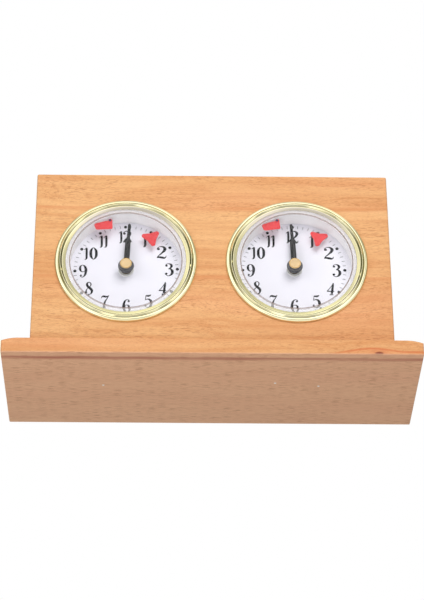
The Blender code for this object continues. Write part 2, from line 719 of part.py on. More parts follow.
def add_escape_wheel(clock):
    """Its arbor runs out through the dial to carry the tell-tale star."""
    thick_rod = circle(0.6, 6)
    rod_end = FRONT_PLATE_Y - 0.2
    pinion = pinion_outline(ESCAPE_P, FOURTH_M, ESCAPE, FOURTH, 1.1)
    clock.put("escape_wheel", stack([
        layer(DIAL_Y - 4.0, rod_end, ROD),
        layer(rod_end, ESCAPE_PINION_Y[0], thick_rod),
        layer(*ESCAPE_PINION_Y, pinion),
        layer(ESCAPE_PINION_Y[1], ESCAPE_WHEEL_Y[0], thick_rod),
        layer(*ESCAPE_WHEEL_Y, escape_outline()),
        layer(ESCAPE_WHEEL_Y[1], BACK_SHOULDER, ROD),
        layer(BACK_SHOULDER, BACK_PIVOT_END, PIVOT),
    ]), "steel", ESCAPE)


def add_tick_star(clock, star_at):
    """Three blunt lobes, the first at star_at degrees anticlockwise from +x."""
    star = []
    for lobe in range(3):
        angle = math.radians(star_at + 120 * lobe)
        lobe_centre = polar(3.9, angle)
        star += [polar(1.25, angle + math.radians(d), lobe_centre) for d in (-75, -25, 25, 75)]
        star.append(polar(2.0, angle + math.radians(60)))
    bm = stack([layer(DIAL_Y - 3.85, DIAL_Y - 3.25, star, circle(0.6, 6))])
    clock.put("tick_star", bm, "red_lacquer", ESCAPE)


# ---------------------------------------------------------------- one clock: escapement
def add_pallet_lever(clock):
    """Pin-pallet lever: two pins by the escape wheel and a fork towards the balance."""
    pins = []
    for degrees in (-36, 36):
        x, z = polar(6.6, towards(ESCAPE, PALLET) + math.radians(degrees), ESCAPE)
        pins.append((x - PALLET[0], z - PALLET[1]))
    low, high = sorted(pins, key=lambda pin: math.atan2(pin[1], pin[0]))
    # unit vector from the lever's arbor to the balance
    ux, uz = polar(1.0, towards(PALLET, BALANCE))
    lever = [
        # round the two pins
        (low[0] + 0.5, low[1] - 0.5), (low[0] + 0.6, low[1] + 0.5), (1.3, 0.0),
        (high[0] + 0.6, high[1] - 0.3), (high[0] + 0.3, high[1] + 0.7),
        (high[0] - 0.6, high[1] + 0.4),
        # along the arm and round the fork
        (0.6 * uz + 1.0 * ux, -0.6 * ux + 1.3 * uz + 1.3),
        (7.8 * ux + 0.9 * uz, 7.8 * uz - 0.9 * ux + 1.6),
        (7.8 * ux + 0.3 * uz, 7.8 * uz - 0.3 * ux + 0.7),
        (6.2 * ux, 6.2 * uz),
        (7.8 * ux - 0.1 * uz, 7.8 * uz - 0.7),
        (6.6 * ux, 6.6 * uz - 1.0),
        # and back
        (-0.8, -1.2), (low[0] - 0.6, low[1] - 0.3),
    ]
    pin_loops = [circle(0.35, 6, pin) for pin in (low, high)]
    clock.put("pallet_lever", stack(arbor(LEVER_Y[0], PALLET_PIN_END) + [
        layer(*LEVER_Y, lever),
        solids(LEVER_Y[1], PALLET_PIN_END, ROD, *pin_loops),
    ]), "steel", PALLET)


def add_balance(clock):
    """A two-spoked wheel with a roller and an impulse pin in front of it."""
    upper = arc(BALANCE_R - BALANCE_RIM, [12 + 156 * k / 6 for k in range(7)])
    upper += [(-1.6, 0.9), (-0.6, 1.4), (0.6, 1.4), (1.6, 0.9)]
    lower = [(-x, -z) for x, z in upper]
    impulse_front = -8.3
    clock.put("balance_wheel", stack(arbor(impulse_front, BALANCE_RIM_Y[1]) + [
        solids(impulse_front, ROLLER_Y[0], ROD, circle(0.3, 6, (1.6, -0.45))),
        layer(*ROLLER_Y, circle(2.2, 12)),
        layer(ROLLER_Y[1], BALANCE_RIM_Y[0], ROD),
        layer(*BALANCE_RIM_Y, circle(BALANCE_R, 24), upper, lower),
    ]), "brass", BALANCE)


def add_hairspring(clock):
    bm = stack([layer(-4.5, -3.8, spiral_strip(0.75, 5.6, 4.0, 0.2))])
    clock.put("hairspring", bm, "blued_steel", BALANCE)


# ---------------------------------------------------------------- one clock: hands' drive
def add_center_arbor(clock):
    """From the minute hand to the setting knob, with the cannon pinion turned on it."""
    rear = circle(1.25)
    head_back, seat_back = DIAL_Y - 6.55, DIAL_Y - 3.6
    pinion = pinion_outline(CANNON_P, MOTION_M, CENTER, MINUTE_STUD, 1.0)
    clock.put("center_arbor", stack([
        layer(DIAL_Y - 7.4, head_back, circle(3.1, 16)),
        layer(head_back, seat_back, circle(1.2)),
        layer(seat_back, CANNON_Y[0], circle(1.5)),
        layer(*CANNON_Y, pinion),
        layer(CANNON_Y[1], -18.2, rear),
        layer(-18.2, -3.5, circle(0.95)),
        layer(-3.5, 30.6, rear),
    ]), "brass")


def add_setting_knob(clock):
    """A collar and a fluted grip behind it."""
    flutes = [polar(4.85 + 0.35 * (k % 2), math.pi * k / 12) for k in range(24)]
    bore = circle(1.3)
    clock.put("setting_knob", stack([
        layer(22.8, 25.6, circle(3.0, 12), bore),
        layer(25.6, 31.4, flutes, bore),
    ]), "brass")


def add_motion_work(clock):
    """Minute wheel on its stud, hour wheel and pipe round the centre arbor."""
    bore = circle(0.78)
    pinion = pinion_outline(MINUTE_P, MOTION_M, MINUTE_STUD, CENTER, 1.35)
    clock.put("minute_wheel", stack([
        layer(*MINUTE_WHEEL_Y, wheel_outline(MINUTE_T, MOTION_M, MINUTE_STUD, CENTER), bore),
        layer(*MINUTE_PINION_Y, pinion, bore),
    ]), "brass", MINUTE_STUD)
    bore = circle(1.68)
    clock.put("hour_wheel", stack([
        layer(*HOUR_WHEEL_Y, wheel_outline(HOUR_T, MOTION_M, CENTER, MINUTE_STUD), bore),
        layer(DIAL_Y - 3.2, HOUR_WHEEL_Y[0], circle(2.55, 12), bore),
    ]), "brass")


def add_hour_hand(clock, hour_at):
    """Pointing hour_at degrees clockwise from twelve."""
    outline = [
        (1.55, 3.25), (1.4, 17.0), (2.2, 16.6), (0.0, 20.0),
        (-2.2, 16.6), (-1.4, 17.0), (-1.55, 3.25),
    ]
    outline += arc(3.6, (150, 180, 210, 240, 270, 300, 330, 360, 30))
    bore = circle(2.6, 12)
    clock.put("hour_hand", stack([
        layer(DIAL_Y - 3.0, DIAL_Y - 2.6, turned(outline, -hour_at), bore),
        layer(DIAL_Y - 2.6, DIAL_Y - 1.6, circle(3.3, 12), bore),
    ]), "black_lacquer")


def add_minute_hand(clock, minute_at):
    """Pointing minute_at degrees clockwise from twelve, with a stepped boss in front."""
    outline = [
        (1.0, 4.2), (0.85, 17.0), (0.75, 26.1), (0.4, 26.8),
        (-0.4, 26.8), (-0.75, 26.1), (-0.85, 17.0), (-1.0, 4.2),
    ]
    outline += arc(4.35, (126, 150, 180, 210, 240, 270, 300, 330, 0, 30, 54))
    bore = circle(1.25)
    clock.put("minute_hand", stack([
        layer(DIAL_Y - 4.6, DIAL_Y - 4.2, turned(outline, -minute_at), bore),
        layer(DIAL_Y - 4.2, DIAL_Y - 3.9, circle(4.2, 12), bore),
        layer(DIAL_Y - 5.8, DIAL_Y - 4.6, circle(3.95, 12), bore),
        layer(DIAL_Y - 6.5, DIAL_Y - 5.8, circle(3.45, 12), bore),
    ]), "black_lacquer")


def add_flag(clock, flag_at):
    """Hung on the dial's pin near its front end, turned flag_at degrees anticlockwise."""
    outline = [(0.6, -4.5), (1.4, 1.0), (-0.9, 1.1), (-2.6, 0.6), (-8.4, -0.8), (-8.0, -4.3)]
    bm = stack([layer(DIAL_Y - 6.3, DIAL_Y - 6.0, turned(outline, flag_at), circle(0.45))])
    clock.put("flag", bm, "red_lacquer", FLAG_PIN)


def build_clock(side, hour_at, minute_at, star_at, flag_at):
    """One clock. The four angles set how its hands, tell-tale star and flag stand, in degrees."""
    clock = Clock(side)
    for add_piece in (
        add_bezel, add_crystal, add_dial_surround, add_dial, add_plates,
        add_great_wheel, add_winding_arbor, add_mainspring, add_winding_key,
        add_going_train, add_escape_wheel, add_pallet_lever, add_balance, add_hairspring,
        add_center_arbor, add_setting_knob, add_motion_work,
    ):
        add_piece(clock)
    add_tick_star(clock, star_at)
    add_hour_hand(clock, hour_at)
    add_minute_hand(clock, minute_at)
    add_flag(clock, flag_at)


# ---------------------------------------------------------------- the whole chess clock
for old in list(bpy.data.objects):
    bpy.data.objects.remove(old)

add_base_board()
add_front_panel()
add_side_panels()
add_top_panel()
add_back_panel()
add_rocker_bracket()
add_rocker()
add_buttons()
build_clock("left", hour_at=2.6, minute_at=3.1, star_at=44.0, flag_at=8.0)
build_clock("right", hour_at=-2.8, minute_at=-3.2, star_at=20.0, flag_at=12.0)
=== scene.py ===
import json
import math

import bmesh
import bpy
from mathutils import Matrix, Vector


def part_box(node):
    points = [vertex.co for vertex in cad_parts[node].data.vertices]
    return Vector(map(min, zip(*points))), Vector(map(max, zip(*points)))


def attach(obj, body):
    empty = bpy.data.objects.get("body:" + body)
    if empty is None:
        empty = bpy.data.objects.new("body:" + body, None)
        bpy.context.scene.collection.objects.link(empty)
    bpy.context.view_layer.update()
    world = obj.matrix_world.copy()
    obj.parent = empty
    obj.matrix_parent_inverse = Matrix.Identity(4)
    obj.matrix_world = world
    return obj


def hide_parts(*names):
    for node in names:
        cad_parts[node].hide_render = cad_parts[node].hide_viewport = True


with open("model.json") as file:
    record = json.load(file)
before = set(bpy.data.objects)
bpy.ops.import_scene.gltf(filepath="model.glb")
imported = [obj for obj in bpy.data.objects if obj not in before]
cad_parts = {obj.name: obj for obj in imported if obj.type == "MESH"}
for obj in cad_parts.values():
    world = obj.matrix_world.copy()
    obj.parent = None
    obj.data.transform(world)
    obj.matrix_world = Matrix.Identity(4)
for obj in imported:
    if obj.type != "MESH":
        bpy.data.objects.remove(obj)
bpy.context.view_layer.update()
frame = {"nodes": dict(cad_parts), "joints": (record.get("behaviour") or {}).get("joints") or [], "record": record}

MM = 0.001
SIDES = ("left", "right")
scene = bpy.context.scene


# ---------------------------------------------------------------- places taken from the CAD, in mm
def box_mm(node):
    low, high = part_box(node)
    return low / MM, high / MM


def box_centre(node):
    low, high = box_mm(node)
    return (low + high) / 2


def joint_xz(joint):
    place = Vector(joint.get("pos_m", (0, 0, 0))) / MM
    return place.x, place.z


BASE_LO, BASE_HI = box_mm("base_board")
PANEL_LO, PANEL_HI = box_mm("front_panel")
TOP_LO, TOP_HI = box_mm("top_panel")
BACK_LO, BACK_HI = box_mm("back_panel")
FACE = PANEL_LO.y                               # y of the front panel's face
DIAL = box_mm("dial_left")[1].y - 0.5           # y of the printed face of the dials
CENTRE = {}                                     # (x, z) of the bezels
BUTTON_AT = {}                                  # (x, y) of the buttons
for side in SIDES:
    low, high = box_mm(f"crystal_{side}")
    CENTRE[side] = ((low.x + high.x) / 2, (low.z + high.z) / 2)
    low, high = box_mm(f"button_{side}")
    BUTTON_AT[side] = ((low.x + high.x) / 2, (low.y + high.y) / 2)
JOINT_AT = {joint["name"]: joint_xz(joint) for joint in frame["joints"]}
HUB = {side: JOINT_AT[f"{side}_hands_turn"] for side in SIDES}
WIND_AT = {side: JOINT_AT[f"{side}_winding"] for side in SIDES}

# The right dial's print sits a little off its arbor, and both prints are turned a few degrees.
PRINT_AT = {"left": HUB["left"], "right": (HUB["right"][0] - 0.3, HUB["right"][1])}
PRINT_TURN = {"left": 1.7, "right": 0.4}
# Rest positions in degrees: hands clockwise from 12, star and flag anticlockwise as seen in front.
REST = {
    "left": {"minute": 3.1, "hour": 2.6, "star": 44.0, "flag": 8.0},
    "right": {"minute": -3.2, "hour": -2.8, "star": 20.0, "flag": 12.0},
}
ARBOR_HOLE = 1.3            # radius of the bore in minute hands, setting knobs and their collars
HOUR_HOLE = 2.6             # radius of the bore in the hour hands
DIAL_HOLE = 2.9             # radius of the hole in the dial plates


# ---------------------------------------------------------------- outlines
def around(items):
    """Each item with the next one, and the last with the first."""
    return zip(items, items[1:] + items[:1])


def circle(radius, sides, at=(0.0, 0.0)):
    angles = [2 * math.pi * k / sides for k in range(sides)]
    return [(at[0] + radius * math.cos(a), at[1] + radius * math.sin(a)) for a in angles]


def polar(radius, degrees, about=(0.0, 0.0)):
    angle = math.radians(degrees)
    return about[0] + radius * math.cos(angle), about[1] + radius * math.sin(angle)


def turned(points, degrees, about):
    """Points turned about the origin, which is then moved to `about`."""
    cos, sin = math.cos(math.radians(degrees)), math.sin(math.radians(degrees))
    return [(about[0] + x * cos - z * sin, about[1] + x * sin + z * cos) for x, z in points]


def lift(points, level):
    """Adds a level to the second column of a table."""
    return [(x, level + height, *own_radius) for x, height, *own_radius in points]


def mirrored(points):
    """The other half of an outline that is symmetric about x = 0."""
    return [(-x, *rest) for x, *rest in points[::-1]]


def ease_corners(points, radius, steps, share=0.48, keep_axis=False):
    """Turns the corners of a closed outline into small arcs.

    A corner may carry its own radius as a third number. An arc takes at most `share` of the edges
    beside it. With keep_axis, corners at x = 0 stay as they are.
    """
    eased = []
    for k, corner in enumerate(points):
        p = Vector(corner[:2])
        wanted = corner[2] if len(corner) > 2 else radius
        before = Vector(points[k - 1][:2]) - p
        after = Vector(points[(k + 1) % len(points)][:2]) - p
        if (keep_axis and p.x < 1e-9) or min(before.length, after.length) < 1e-6:
            eased.append(tuple(p))
            continue
        reach = min(wanted, before.length * share, after.length * share)
        first, last = p + before.normalized() * reach, p + after.normalized() * reach
        for s in range(steps + 1):
            t = s / steps
            eased.append(tuple((1 - t) ** 2 * first + 2 * t * (1 - t) * p + t * t * last))
    return eased


def inset(points, amount):
    """A closed outline moved inwards by `amount`."""
    points = [Vector(p) for p in points]
    area = sum(a.x * b.y - b.x * a.y for a, b in around(points))
    sign = 1 if area > 0 else -1
    moved = []
    for k, p in enumerate(points):
        arriving, leaving = p - points[k - 1], points[(k + 1) % len(points)] - p
        if arriving.length < 1e-9 or leaving.length < 1e-9:
            moved.append(p)
            continue
        normal = Vector((-arriving.y, arriving.x)).normalized() * sign
        middle = normal + Vector((-leaving.y, leaving.x)).normalized() * sign
        middle = middle.normalized() if middle.length > 1e-6 else normal
        moved.append(p + middle * (amount / max(0.5, middle.dot(normal))))
    return moved


# ---------------------------------------------------------------- meshes
def join_rings(bm, one, other):
    """Faces between two rings of vertices. A ring may be a single vertex repeated."""
    for (a, b), (c, d) in zip(around(one), around(other)):
        corners = list(dict.fromkeys((a, b, d, c)))
        if len(corners) > 2:
            bm.faces.new(corners)


def lathe(profile, at, sides, upright=False):
    """A closed (radius, y) profile spun about Y through (x, z), or (radius, z) about Z if upright."""
    bm = bmesh.new()

    def vertex(x, other, height):
        return bm.verts.new((x, other, height) if upright else (x, height, other))

    rings = []
    for radius, height in profile:
        if radius < 1e-9:
            rings.append([vertex(*at, height)] * sides)
        else:
            rings.append([vertex(*point, height) for point in circle(radius, sides, at)])
    for one, other in around(rings):
        join_rings(bm, one, other)
    return bm


def plate(loop, low, high, ease, steps=2, place=lambda x, y, z: (x, y, z), hole=None):
    """A flat plate from an (x, z) loop between two y levels, its rims and its hole's eased."""
    bm = bmesh.new()
    levels = [(low, ease)]
    for s in range(1, steps + 1):
        angle = math.pi / 2 * s / steps
        levels.append((low + ease * (1 - math.cos(angle)), ease * (1 - math.sin(angle))))
    levels += [(low + high - y, amount) for y, amount in levels[::-1]]

    def wall(points, sign):
        rings = []
        for y, amount in levels:
            moved = inset(points, sign * amount)
            rings.append([bm.verts.new(place(p.x, y, p.y)) for p in moved])
        for one, other in zip(rings, rings[1:]):
            join_rings(bm, one, other)
        return rings

    walls = [wall(loop, 1)]
    if hole:
        walls.append(wall(hole, -1))
    for end in (0, -1):
        edges = [bm.edges.get(pair) for rings in walls for pair in around(rings[end])]
        bmesh.ops.triangle_fill(bm, edges=edges, use_beauty=True)
    return bm


def add_prism(bm, low, high):
    """Adds the solid between two loops of points."""
    low = [bm.verts.new(point) for point in low]
    high = [bm.verts.new(point) for point in high]
    bm.faces.new(low)
    bm.faces.new(high[::-1])
    join_rings(bm, low, high)


def drill(radius, low, high, at, sides=48, upright=False):
    """A cutter for a round hole, 2 mm longer than the board at both faces."""
    profile = [(0, low - 2), (radius, low - 2), (radius, high + 2), (0, high + 2)]
    return lathe(profile, at, sides, upright)


# ---------------------------------------------------------------- pieces
def add_object(name, data):
    obj = bpy.data.objects.new(name, data)
    scene.collection.objects.link(obj)
    return obj


def mesh_in_metres(name, bm):
    bmesh.ops.recalc_face_normals(bm, faces=bm.faces)
    bmesh.ops.scale(bm, vec=(MM, MM, MM), verts=bm.verts)
    mesh = bpy.data.meshes.new(name)
    bm.to_mesh(mesh)
    bm.free()
    return mesh


def piece(name, bm, material, slot, body="case", replaces=None, angle=32.0, smooth=True):
    """Makes a bmesh in mm a piece that rides on a body. `angle` parts smooth from sharp edges."""
    bmesh.ops.remove_doubles(bm, verts=bm.verts, dist=1e-5)
    mesh = mesh_in_metres(name, bm)
    mesh.materials.append(material)
    if smooth:
        mesh.shade_smooth()
        mesh.set_sharp_from_angle(angle=math.radians(angle))
    obj = add_object(name, mesh)
    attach(obj, body)
    if replaces:
        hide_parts(replaces)
    return obj


def turned_piece(name, profile, at, material, slot, sides, level=0.0, ease=0.1, steps=3,
                 upright=False, **options):
    """A lathed piece. Profile columns: radius, height from `level`, own corner radius if any."""
    outline = ease_corners(lift(profile, level), ease, steps, share=0.45, keep_axis=True)
    return piece(name, lathe(outline, at, sides, upright), material, slot, **options)


def eased_board(node, material, ease, segments=3):
    """A board with rounded edges that fills the box of a CAD node."""
    low, high = box_mm(node)
    bm = bmesh.new()
    bmesh.ops.create_cube(bm, size=1.0)
    for v in bm.verts:
        v.co = [(low[i] + high[i]) / 2 + v.co[i] * (high[i] - low[i]) for i in range(3)]
    bmesh.ops.bevel(bm, geom=list(bm.edges), offset=ease, segments=segments, profile=0.5,
                    affect="EDGES")
    return piece(f"{node}_eased", bm, material, "beech", replaces=node)


def cut(obj, cutters):
    """Cuts closed bmeshes in mm out of a piece and applies each cut."""
    for bm in cutters:
        cutter = add_object("cutter", mesh_in_metres("cutter", bm))
        modifier = obj.modifiers.new("cut", "BOOLEAN")
        modifier.operation = "DIFFERENCE"
        modifier.solver = "EXACT"
        modifier.object = cutter
        graph = bpy.context.evaluated_depsgraph_get()
        graph.update()
        mesh = bpy.data.meshes.new_from_object(obj.evaluated_get(graph), depsgraph=graph)
        obj.modifiers.clear()
        obj.data = mesh
        bpy.data.objects.remove(cutter)
    obj.data.shade_smooth()
    obj.data.set_sharp_from_angle(angle=math.radians(25))


# ---------------------------------------------------------------- node trees
FADE = (1.0, 0.0)           # output range of a step that falls


def srgb(*channels):
    """Linear RGBA from 0-255 sRGB."""
    def linear(c):
        c /= 255.0
        return c / 12.92 if c <= 0.04045 else ((c + 0.055) / 1.055) ** 2.4
    return tuple(linear(c) for c in channels) + (1.0,)


def dimmed(colour, loss):
    return tuple(c * (1 - loss) for c in colour[:3]) + (1.0,)


class Graph:
    """A node tree, with short ways to add and join nodes."""

    def __init__(self, tree):
        self.tree = tree

    def put(self, socket, value):
        if isinstance(value, bpy.types.NodeSocket):
            self.tree.links.new(value, socket)
        else:
            socket.default_value = value

    def add(self, kind, inputs=None, **fields):
        node = self.tree.nodes.new(kind)
        for key, value in fields.items():
            setattr(node, key, value)
        for key, value in (inputs or {}).items():
            self.put(node.inputs[key], value)
        return node

    def math(self, operation, a, b=0.0):
        return self.add("ShaderNodeMath", {0: a, 1: b}, operation=operation).outputs[0]

    def plus(self, a, b):
        return self.math("ADD", a, b)

    def minus(self, a, b):
        return self.math("SUBTRACT", a, b)

    def times(self, a, b):
        return self.math("MULTIPLY", a, b)

    def vector(self, operation, a, b):
        return self.add("ShaderNodeVectorMath", {0: a, 1: b}, operation=operation).outputs[0]

    def length(self, vector):
        node = self.add("ShaderNodeVectorMath", {0: vector}, operation="LENGTH")
        return node.outputs["Value"]

    def split(self, vector):
        return self.add("ShaderNodeSeparateXYZ", {0: vector}).outputs

    def noise(self, vector, per_mm=None, detail=2.0, rough=0.5, scale=1.0):
        """Noise whose frequency along x, y and z is `per_mm`."""
        if per_mm:
            vector = self.vector("MULTIPLY", vector, per_mm)
        inputs = {"Vector": vector, "Scale": scale, "Detail": detail, "Roughness": rough}
        return self.add("ShaderNodeTexNoise", inputs).outputs[0]

    def swing(self, noise, span):
        """Noise centred on 0 and stretched to a span."""
        return self.times(self.minus(noise, 0.5), span)

    def step(self, value, over, to=(0.0, 1.0), curve="SMOOTHSTEP"):
        """Goes from to[0] to to[1] while value crosses the range `over`."""
        inputs = {"Value": value, "From Min": over[0], "From Max": over[1],
                  "To Min": to[0], "To Max": to[1]}
        node = self.add("ShaderNodeMapRange", inputs, interpolation_type=curve, clamp=True)
        return node.outputs[0]

    def band(self, value, rise, fall):
        """1 between the ranges `rise` and `fall`, and 0 beyond them."""
        return self.times(self.step(value, rise), self.step(value, fall, to=FADE))

    def mix(self, factor, a, b):
        node = self.add("ShaderNodeMix", {0: factor, 6: a, 7: b}, data_type="RGBA")
        return node.outputs[2]

    def tint(self, colour, other, mask, strength):
        """Mixes in another colour where the mask is up."""
        return self.mix(self.times(mask, strength), colour, other)

    def mix_shaders(self, factor, a, b):
        return self.add("ShaderNodeMixShader", {0: factor, 1: a, 2: b}).outputs[0]


class Finish(Graph):
    """The node tree of a new material."""

    SOCKETS = {
        "color": "Base Color", "rough": "Roughness", "metal": "Metallic", "normal": "Normal",
        "coat": "Coat Weight", "coat_rough": "Coat Roughness", "specular": "Specular IOR Level",
        "ior": "IOR", "transmission": "Transmission Weight",
    }

    def __init__(self, name):
        self.material = bpy.data.materials.new(name)
        self.material.use_nodes = True
        super().__init__(self.material.node_tree)
        self.shader = self.tree.nodes["Principled BSDF"]

    def set(self, **values):
        for key, value in values.items():
            self.put(self.shader.inputs[self.SOCKETS[key]], value)
        return self.material

    def surface(self, shader):
        self.put(self.tree.nodes["Material Output"].inputs["Surface"], shader)
        return self.material

    def bump(self, height, strength, distance_mm):
        inputs = {"Height": height, "Strength": strength, "Distance": distance_mm * MM}
        return self.add("ShaderNodeBump", inputs).outputs[0]

    def mm(self):
        """Object coordinates in mm."""
        coordinates = self.add("ShaderNodeTexCoord").outputs["Object"]
        return self.vector("MULTIPLY", coordinates, (1000.0, 1000.0, 1000.0))

    def bezel_radius(self, p):
        """Distance in mm from the axis of the nearer bezel."""
        x, _, z = self.split(p)
        found = []
        for centre in CENTRE.values():
            dx = self.minus(x, centre[0])
            dz = self.minus(z, centre[1])
            found.append(self.math("SQRT", self.plus(self.times(dx, dx), self.times(dz, dz))))
        return self.math("MINIMUM", *found)


# ---------------------------------------------------------------- materials
def beech(name, seed=0.0, upright=False, light=srgb(229, 178, 124), dark=srgb(209, 146, 93),
          extra=None):
    """Flat-sawn beech under clear lacquer: wavy bands along the grain, ray flecks, fine pores.

    The grain runs along x, or along z if upright. `extra` adds a board's own marks.
    """
    n = Finish(name)
    fleck = srgb(170, 104, 60)
    p = n.mm()
    if upright:
        inputs = {"Vector": p, "Rotation": (0.0, math.radians(90), 0.0)}
        p = n.add("ShaderNodeVectorRotate", inputs, rotation_type="EULER_XYZ").outputs[0]
    # the seed moves each board to its own stretch of the pattern
    p = n.vector("ADD", p, (seed * 37.0, seed * 11.3, seed * 23.7))

    def grain(vector, along, across, detail=1.0, rough=0.5):
        return n.noise(vector, (along, across, across), detail, rough)

    # slow warp across the grain, so that nothing runs dead straight
    slow = grain(p, along=0.011, across=0.020, detail=2.0)
    small = grain(p, along=0.05, across=0.10)
    shift = n.plus(n.swing(slow, span=16.0), n.swing(small, span=1.6))
    q = n.vector("ADD", p, n.add("ShaderNodeCombineXYZ", {"Y": shift, "Z": shift}).outputs[0])
    # broad bands weigh a little more than the closer growth lines
    broad = n.step(grain(q, along=0.0035, across=0.075, detail=2.0, rough=0.55), over=(0.36, 0.66))
    close = n.step(grain(q, along=0.010, across=0.42, detail=3.0, rough=0.6), over=(0.38, 0.66))
    colour = n.mix(n.plus(n.times(broad, 0.55), n.times(close, 0.45)), light, dark)
    rosy = n.step(grain(q, along=0.004, across=0.045), over=(0.48, 0.72))
    colour = n.tint(colour, srgb(222, 150, 108), rosy, strength=0.4)
    # ray flecks: short dark dashes along the grain, in two sizes, and the pores
    dash = n.step(grain(q, along=0.26, across=3.2, rough=0.4), over=(0.575, 0.62))
    where = n.step(grain(q, along=0.02, across=0.12), over=(0.34, 0.66), to=(0.22, 1.0))
    tiny = n.step(grain(q, along=0.62, across=4.6, rough=0.4), over=(0.57, 0.655))
    pores = grain(q, along=0.9, across=8.0, detail=2.0)
    flecks = n.times(dash, where)
    colour = n.tint(colour, fleck, flecks, strength=0.55)
    colour = n.tint(colour, fleck, tiny, strength=0.26)
    colour = n.tint(colour, fleck, n.step(pores, over=(0.5, 0.75)), strength=0.22)
    if extra:
        colour = extra(n, n.mm(), colour)
    # relief: the pore noise, with both sizes of fleck sunk into it; flecks are also duller
    height = n.minus(n.times(pores, 0.5), n.plus(n.times(flecks, 0.6), n.times(tiny, 0.4)))
    return n.set(color=colour, rough=n.plus(0.44, n.times(flecks, 0.12)), specular=0.32,
                 normal=n.bump(height, strength=0.35, distance_mm=0.05),
                 coat=0.06, coat_rough=0.35)


def metal(name, colour, rough, mottling=0.06, tool_marks=0.0):
    """Metal with a little tarnish and fine marks. tool_marks strengthens the bump."""
    n = Finish(name)
    p = n.mm()
    blotch = n.noise(p, per_mm=(0.5, 0.5, 0.5), detail=3.0)
    fine = n.noise(p, per_mm=(6.0, 6.0, 6.0))
    tarnished = n.mix(n.step(blotch, over=(0.35, 0.75)), colour, dimmed(colour, mottling * 3))
    relief = n.times(fine, 0.3)
    return n.set(color=tarnished, metal=1.0, rough=n.plus(rough, n.swing(fine, span=0.06)),
                 normal=n.bump(relief, strength=0.12 + tool_marks, distance_mm=0.01))


def paint(name, colour, rough=0.4, specular=0.5, vary=0.05, grain=8.0, bump_mm=0.02):
    """Paint or moulded plastic: slight shade drift and a surface texture of `grain` per mm."""
    n = Finish(name)
    p = n.mm()
    drift = n.noise(p, per_mm=(0.12, 0.12, 0.12))
    skin = n.noise(p, per_mm=(grain, grain, grain))
    shade = n.mix(n.step(drift, over=(0.35, 0.7)), colour, dimmed(colour, vary))
    return n.set(color=shade, rough=n.plus(rough, n.swing(skin, span=0.1)), specular=specular,
                 normal=n.bump(skin, strength=0.2, distance_mm=bump_mm), coat_rough=0.1)


def gold():
    """Polished gold plate with painted shade in its two grooves, and a satin slope down to the crystal whose upper
    half carries a painted reflection of the crystal's rim.
    """
    n = Finish("bezel_gold_polished")
    p = n.mm()
    radius = n.bezel_radius(p)
    cloud = n.step(n.noise(p, per_mm=(0.06, 0.06, 0.06)), over=(0.3, 0.7))
    colour = n.mix(cloud, srgb(253, 248, 214), srgb(248, 240, 198))
    # painted shade: the two grooves are tinted dark olive, standing in for the shade that falls in them
    outer = n.band(radius, rise=(35.8, 36.0), fall=(36.1, 36.3))
    inner = n.band(radius, rise=(33.95, 34.1), fall=(34.25, 34.45))
    colour = n.tint(colour, srgb(120, 112, 70), n.math("MAXIMUM", outer, inner), strength=0.75)
    slope = n.step(radius, over=(33.7, 34.0), to=FADE)
    colour = n.tint(colour, srgb(232, 222, 168), slope, strength=0.6)
    # painted reflection: the slope's upper half is painted the rosy grey that it mirrors from the crystal's rim
    rise = n.math("DIVIDE", n.minus(n.split(p)[2], CENTRE["left"][1]), radius)
    slope_reflection_mask = n.times(slope, n.step(rise, over=(0.30, 0.90), to=(0.0, 0.85)))
    colour = n.mix(slope_reflection_mask, colour, srgb(214, 205, 198))
    polish, satin = 0.06, 0.14          # roughness, and what the slope adds to it
    return n.set(color=colour, metal=1.0, rough=n.plus(polish, n.times(slope, satin)))


def clear_crystal():
    """Clear cap with a painted dark line and a painted pale rim beyond it, which stand in for the refraction at
    its shoulder.

    Shadow and diffuse rays pass straight through, so that the dial behind it is lit.
    """
    n = Finish("crystal_clear")
    p = n.mm()
    ripple = n.noise(p, per_mm=(0.05, 0.05, 0.05), detail=1.0)
    n.set(color=(0.985, 0.985, 0.99, 1.0), rough=0.0, ior=1.2, specular=0.2, transmission=1.0,
          normal=n.bump(ripple, strength=0.05, distance_mm=0.2))

    def plain(kind, colour):
        return n.add(kind, {"Color": colour}).outputs[0]

    path = n.add("ShaderNodeLightPath").outputs
    clear = plain("ShaderNodeBsdfTransparent", (0.97, 0.97, 0.975, 1.0))
    rim_reflection_paint = plain("ShaderNodeBsdfDiffuse", (0.84, 0.81, 0.80, 1.0))
    shade = plain("ShaderNodeBsdfDiffuse", (0.26, 0.19, 0.16, 1.0))
    radius = n.bezel_radius(p)
    # painted shade: a dark brown ring that stands in for the refraction at the cap's shoulder
    line = n.band(radius, rise=(29.6, 29.8), fall=(30.05, 30.25))
    # painted reflection: a pale rosy rim beyond the dark ring, standing in for what the shoulder refracts
    rim_reflection_mask = n.step(radius, over=(30.0, 30.3))
    rim_reflection_share, line_share = 0.23, 0.68
    glass = n.mix_shaders(n.times(rim_reflection_mask, rim_reflection_share), n.shader.outputs[0], rim_reflection_paint)
    glass = n.mix_shaders(n.times(line, line_share), glass, shade)
    through = n.math("MAXIMUM", path["Is Shadow Ray"], path["Is Diffuse Ray"])
    return n.surface(n.mix_shaders(through, glass, clear))


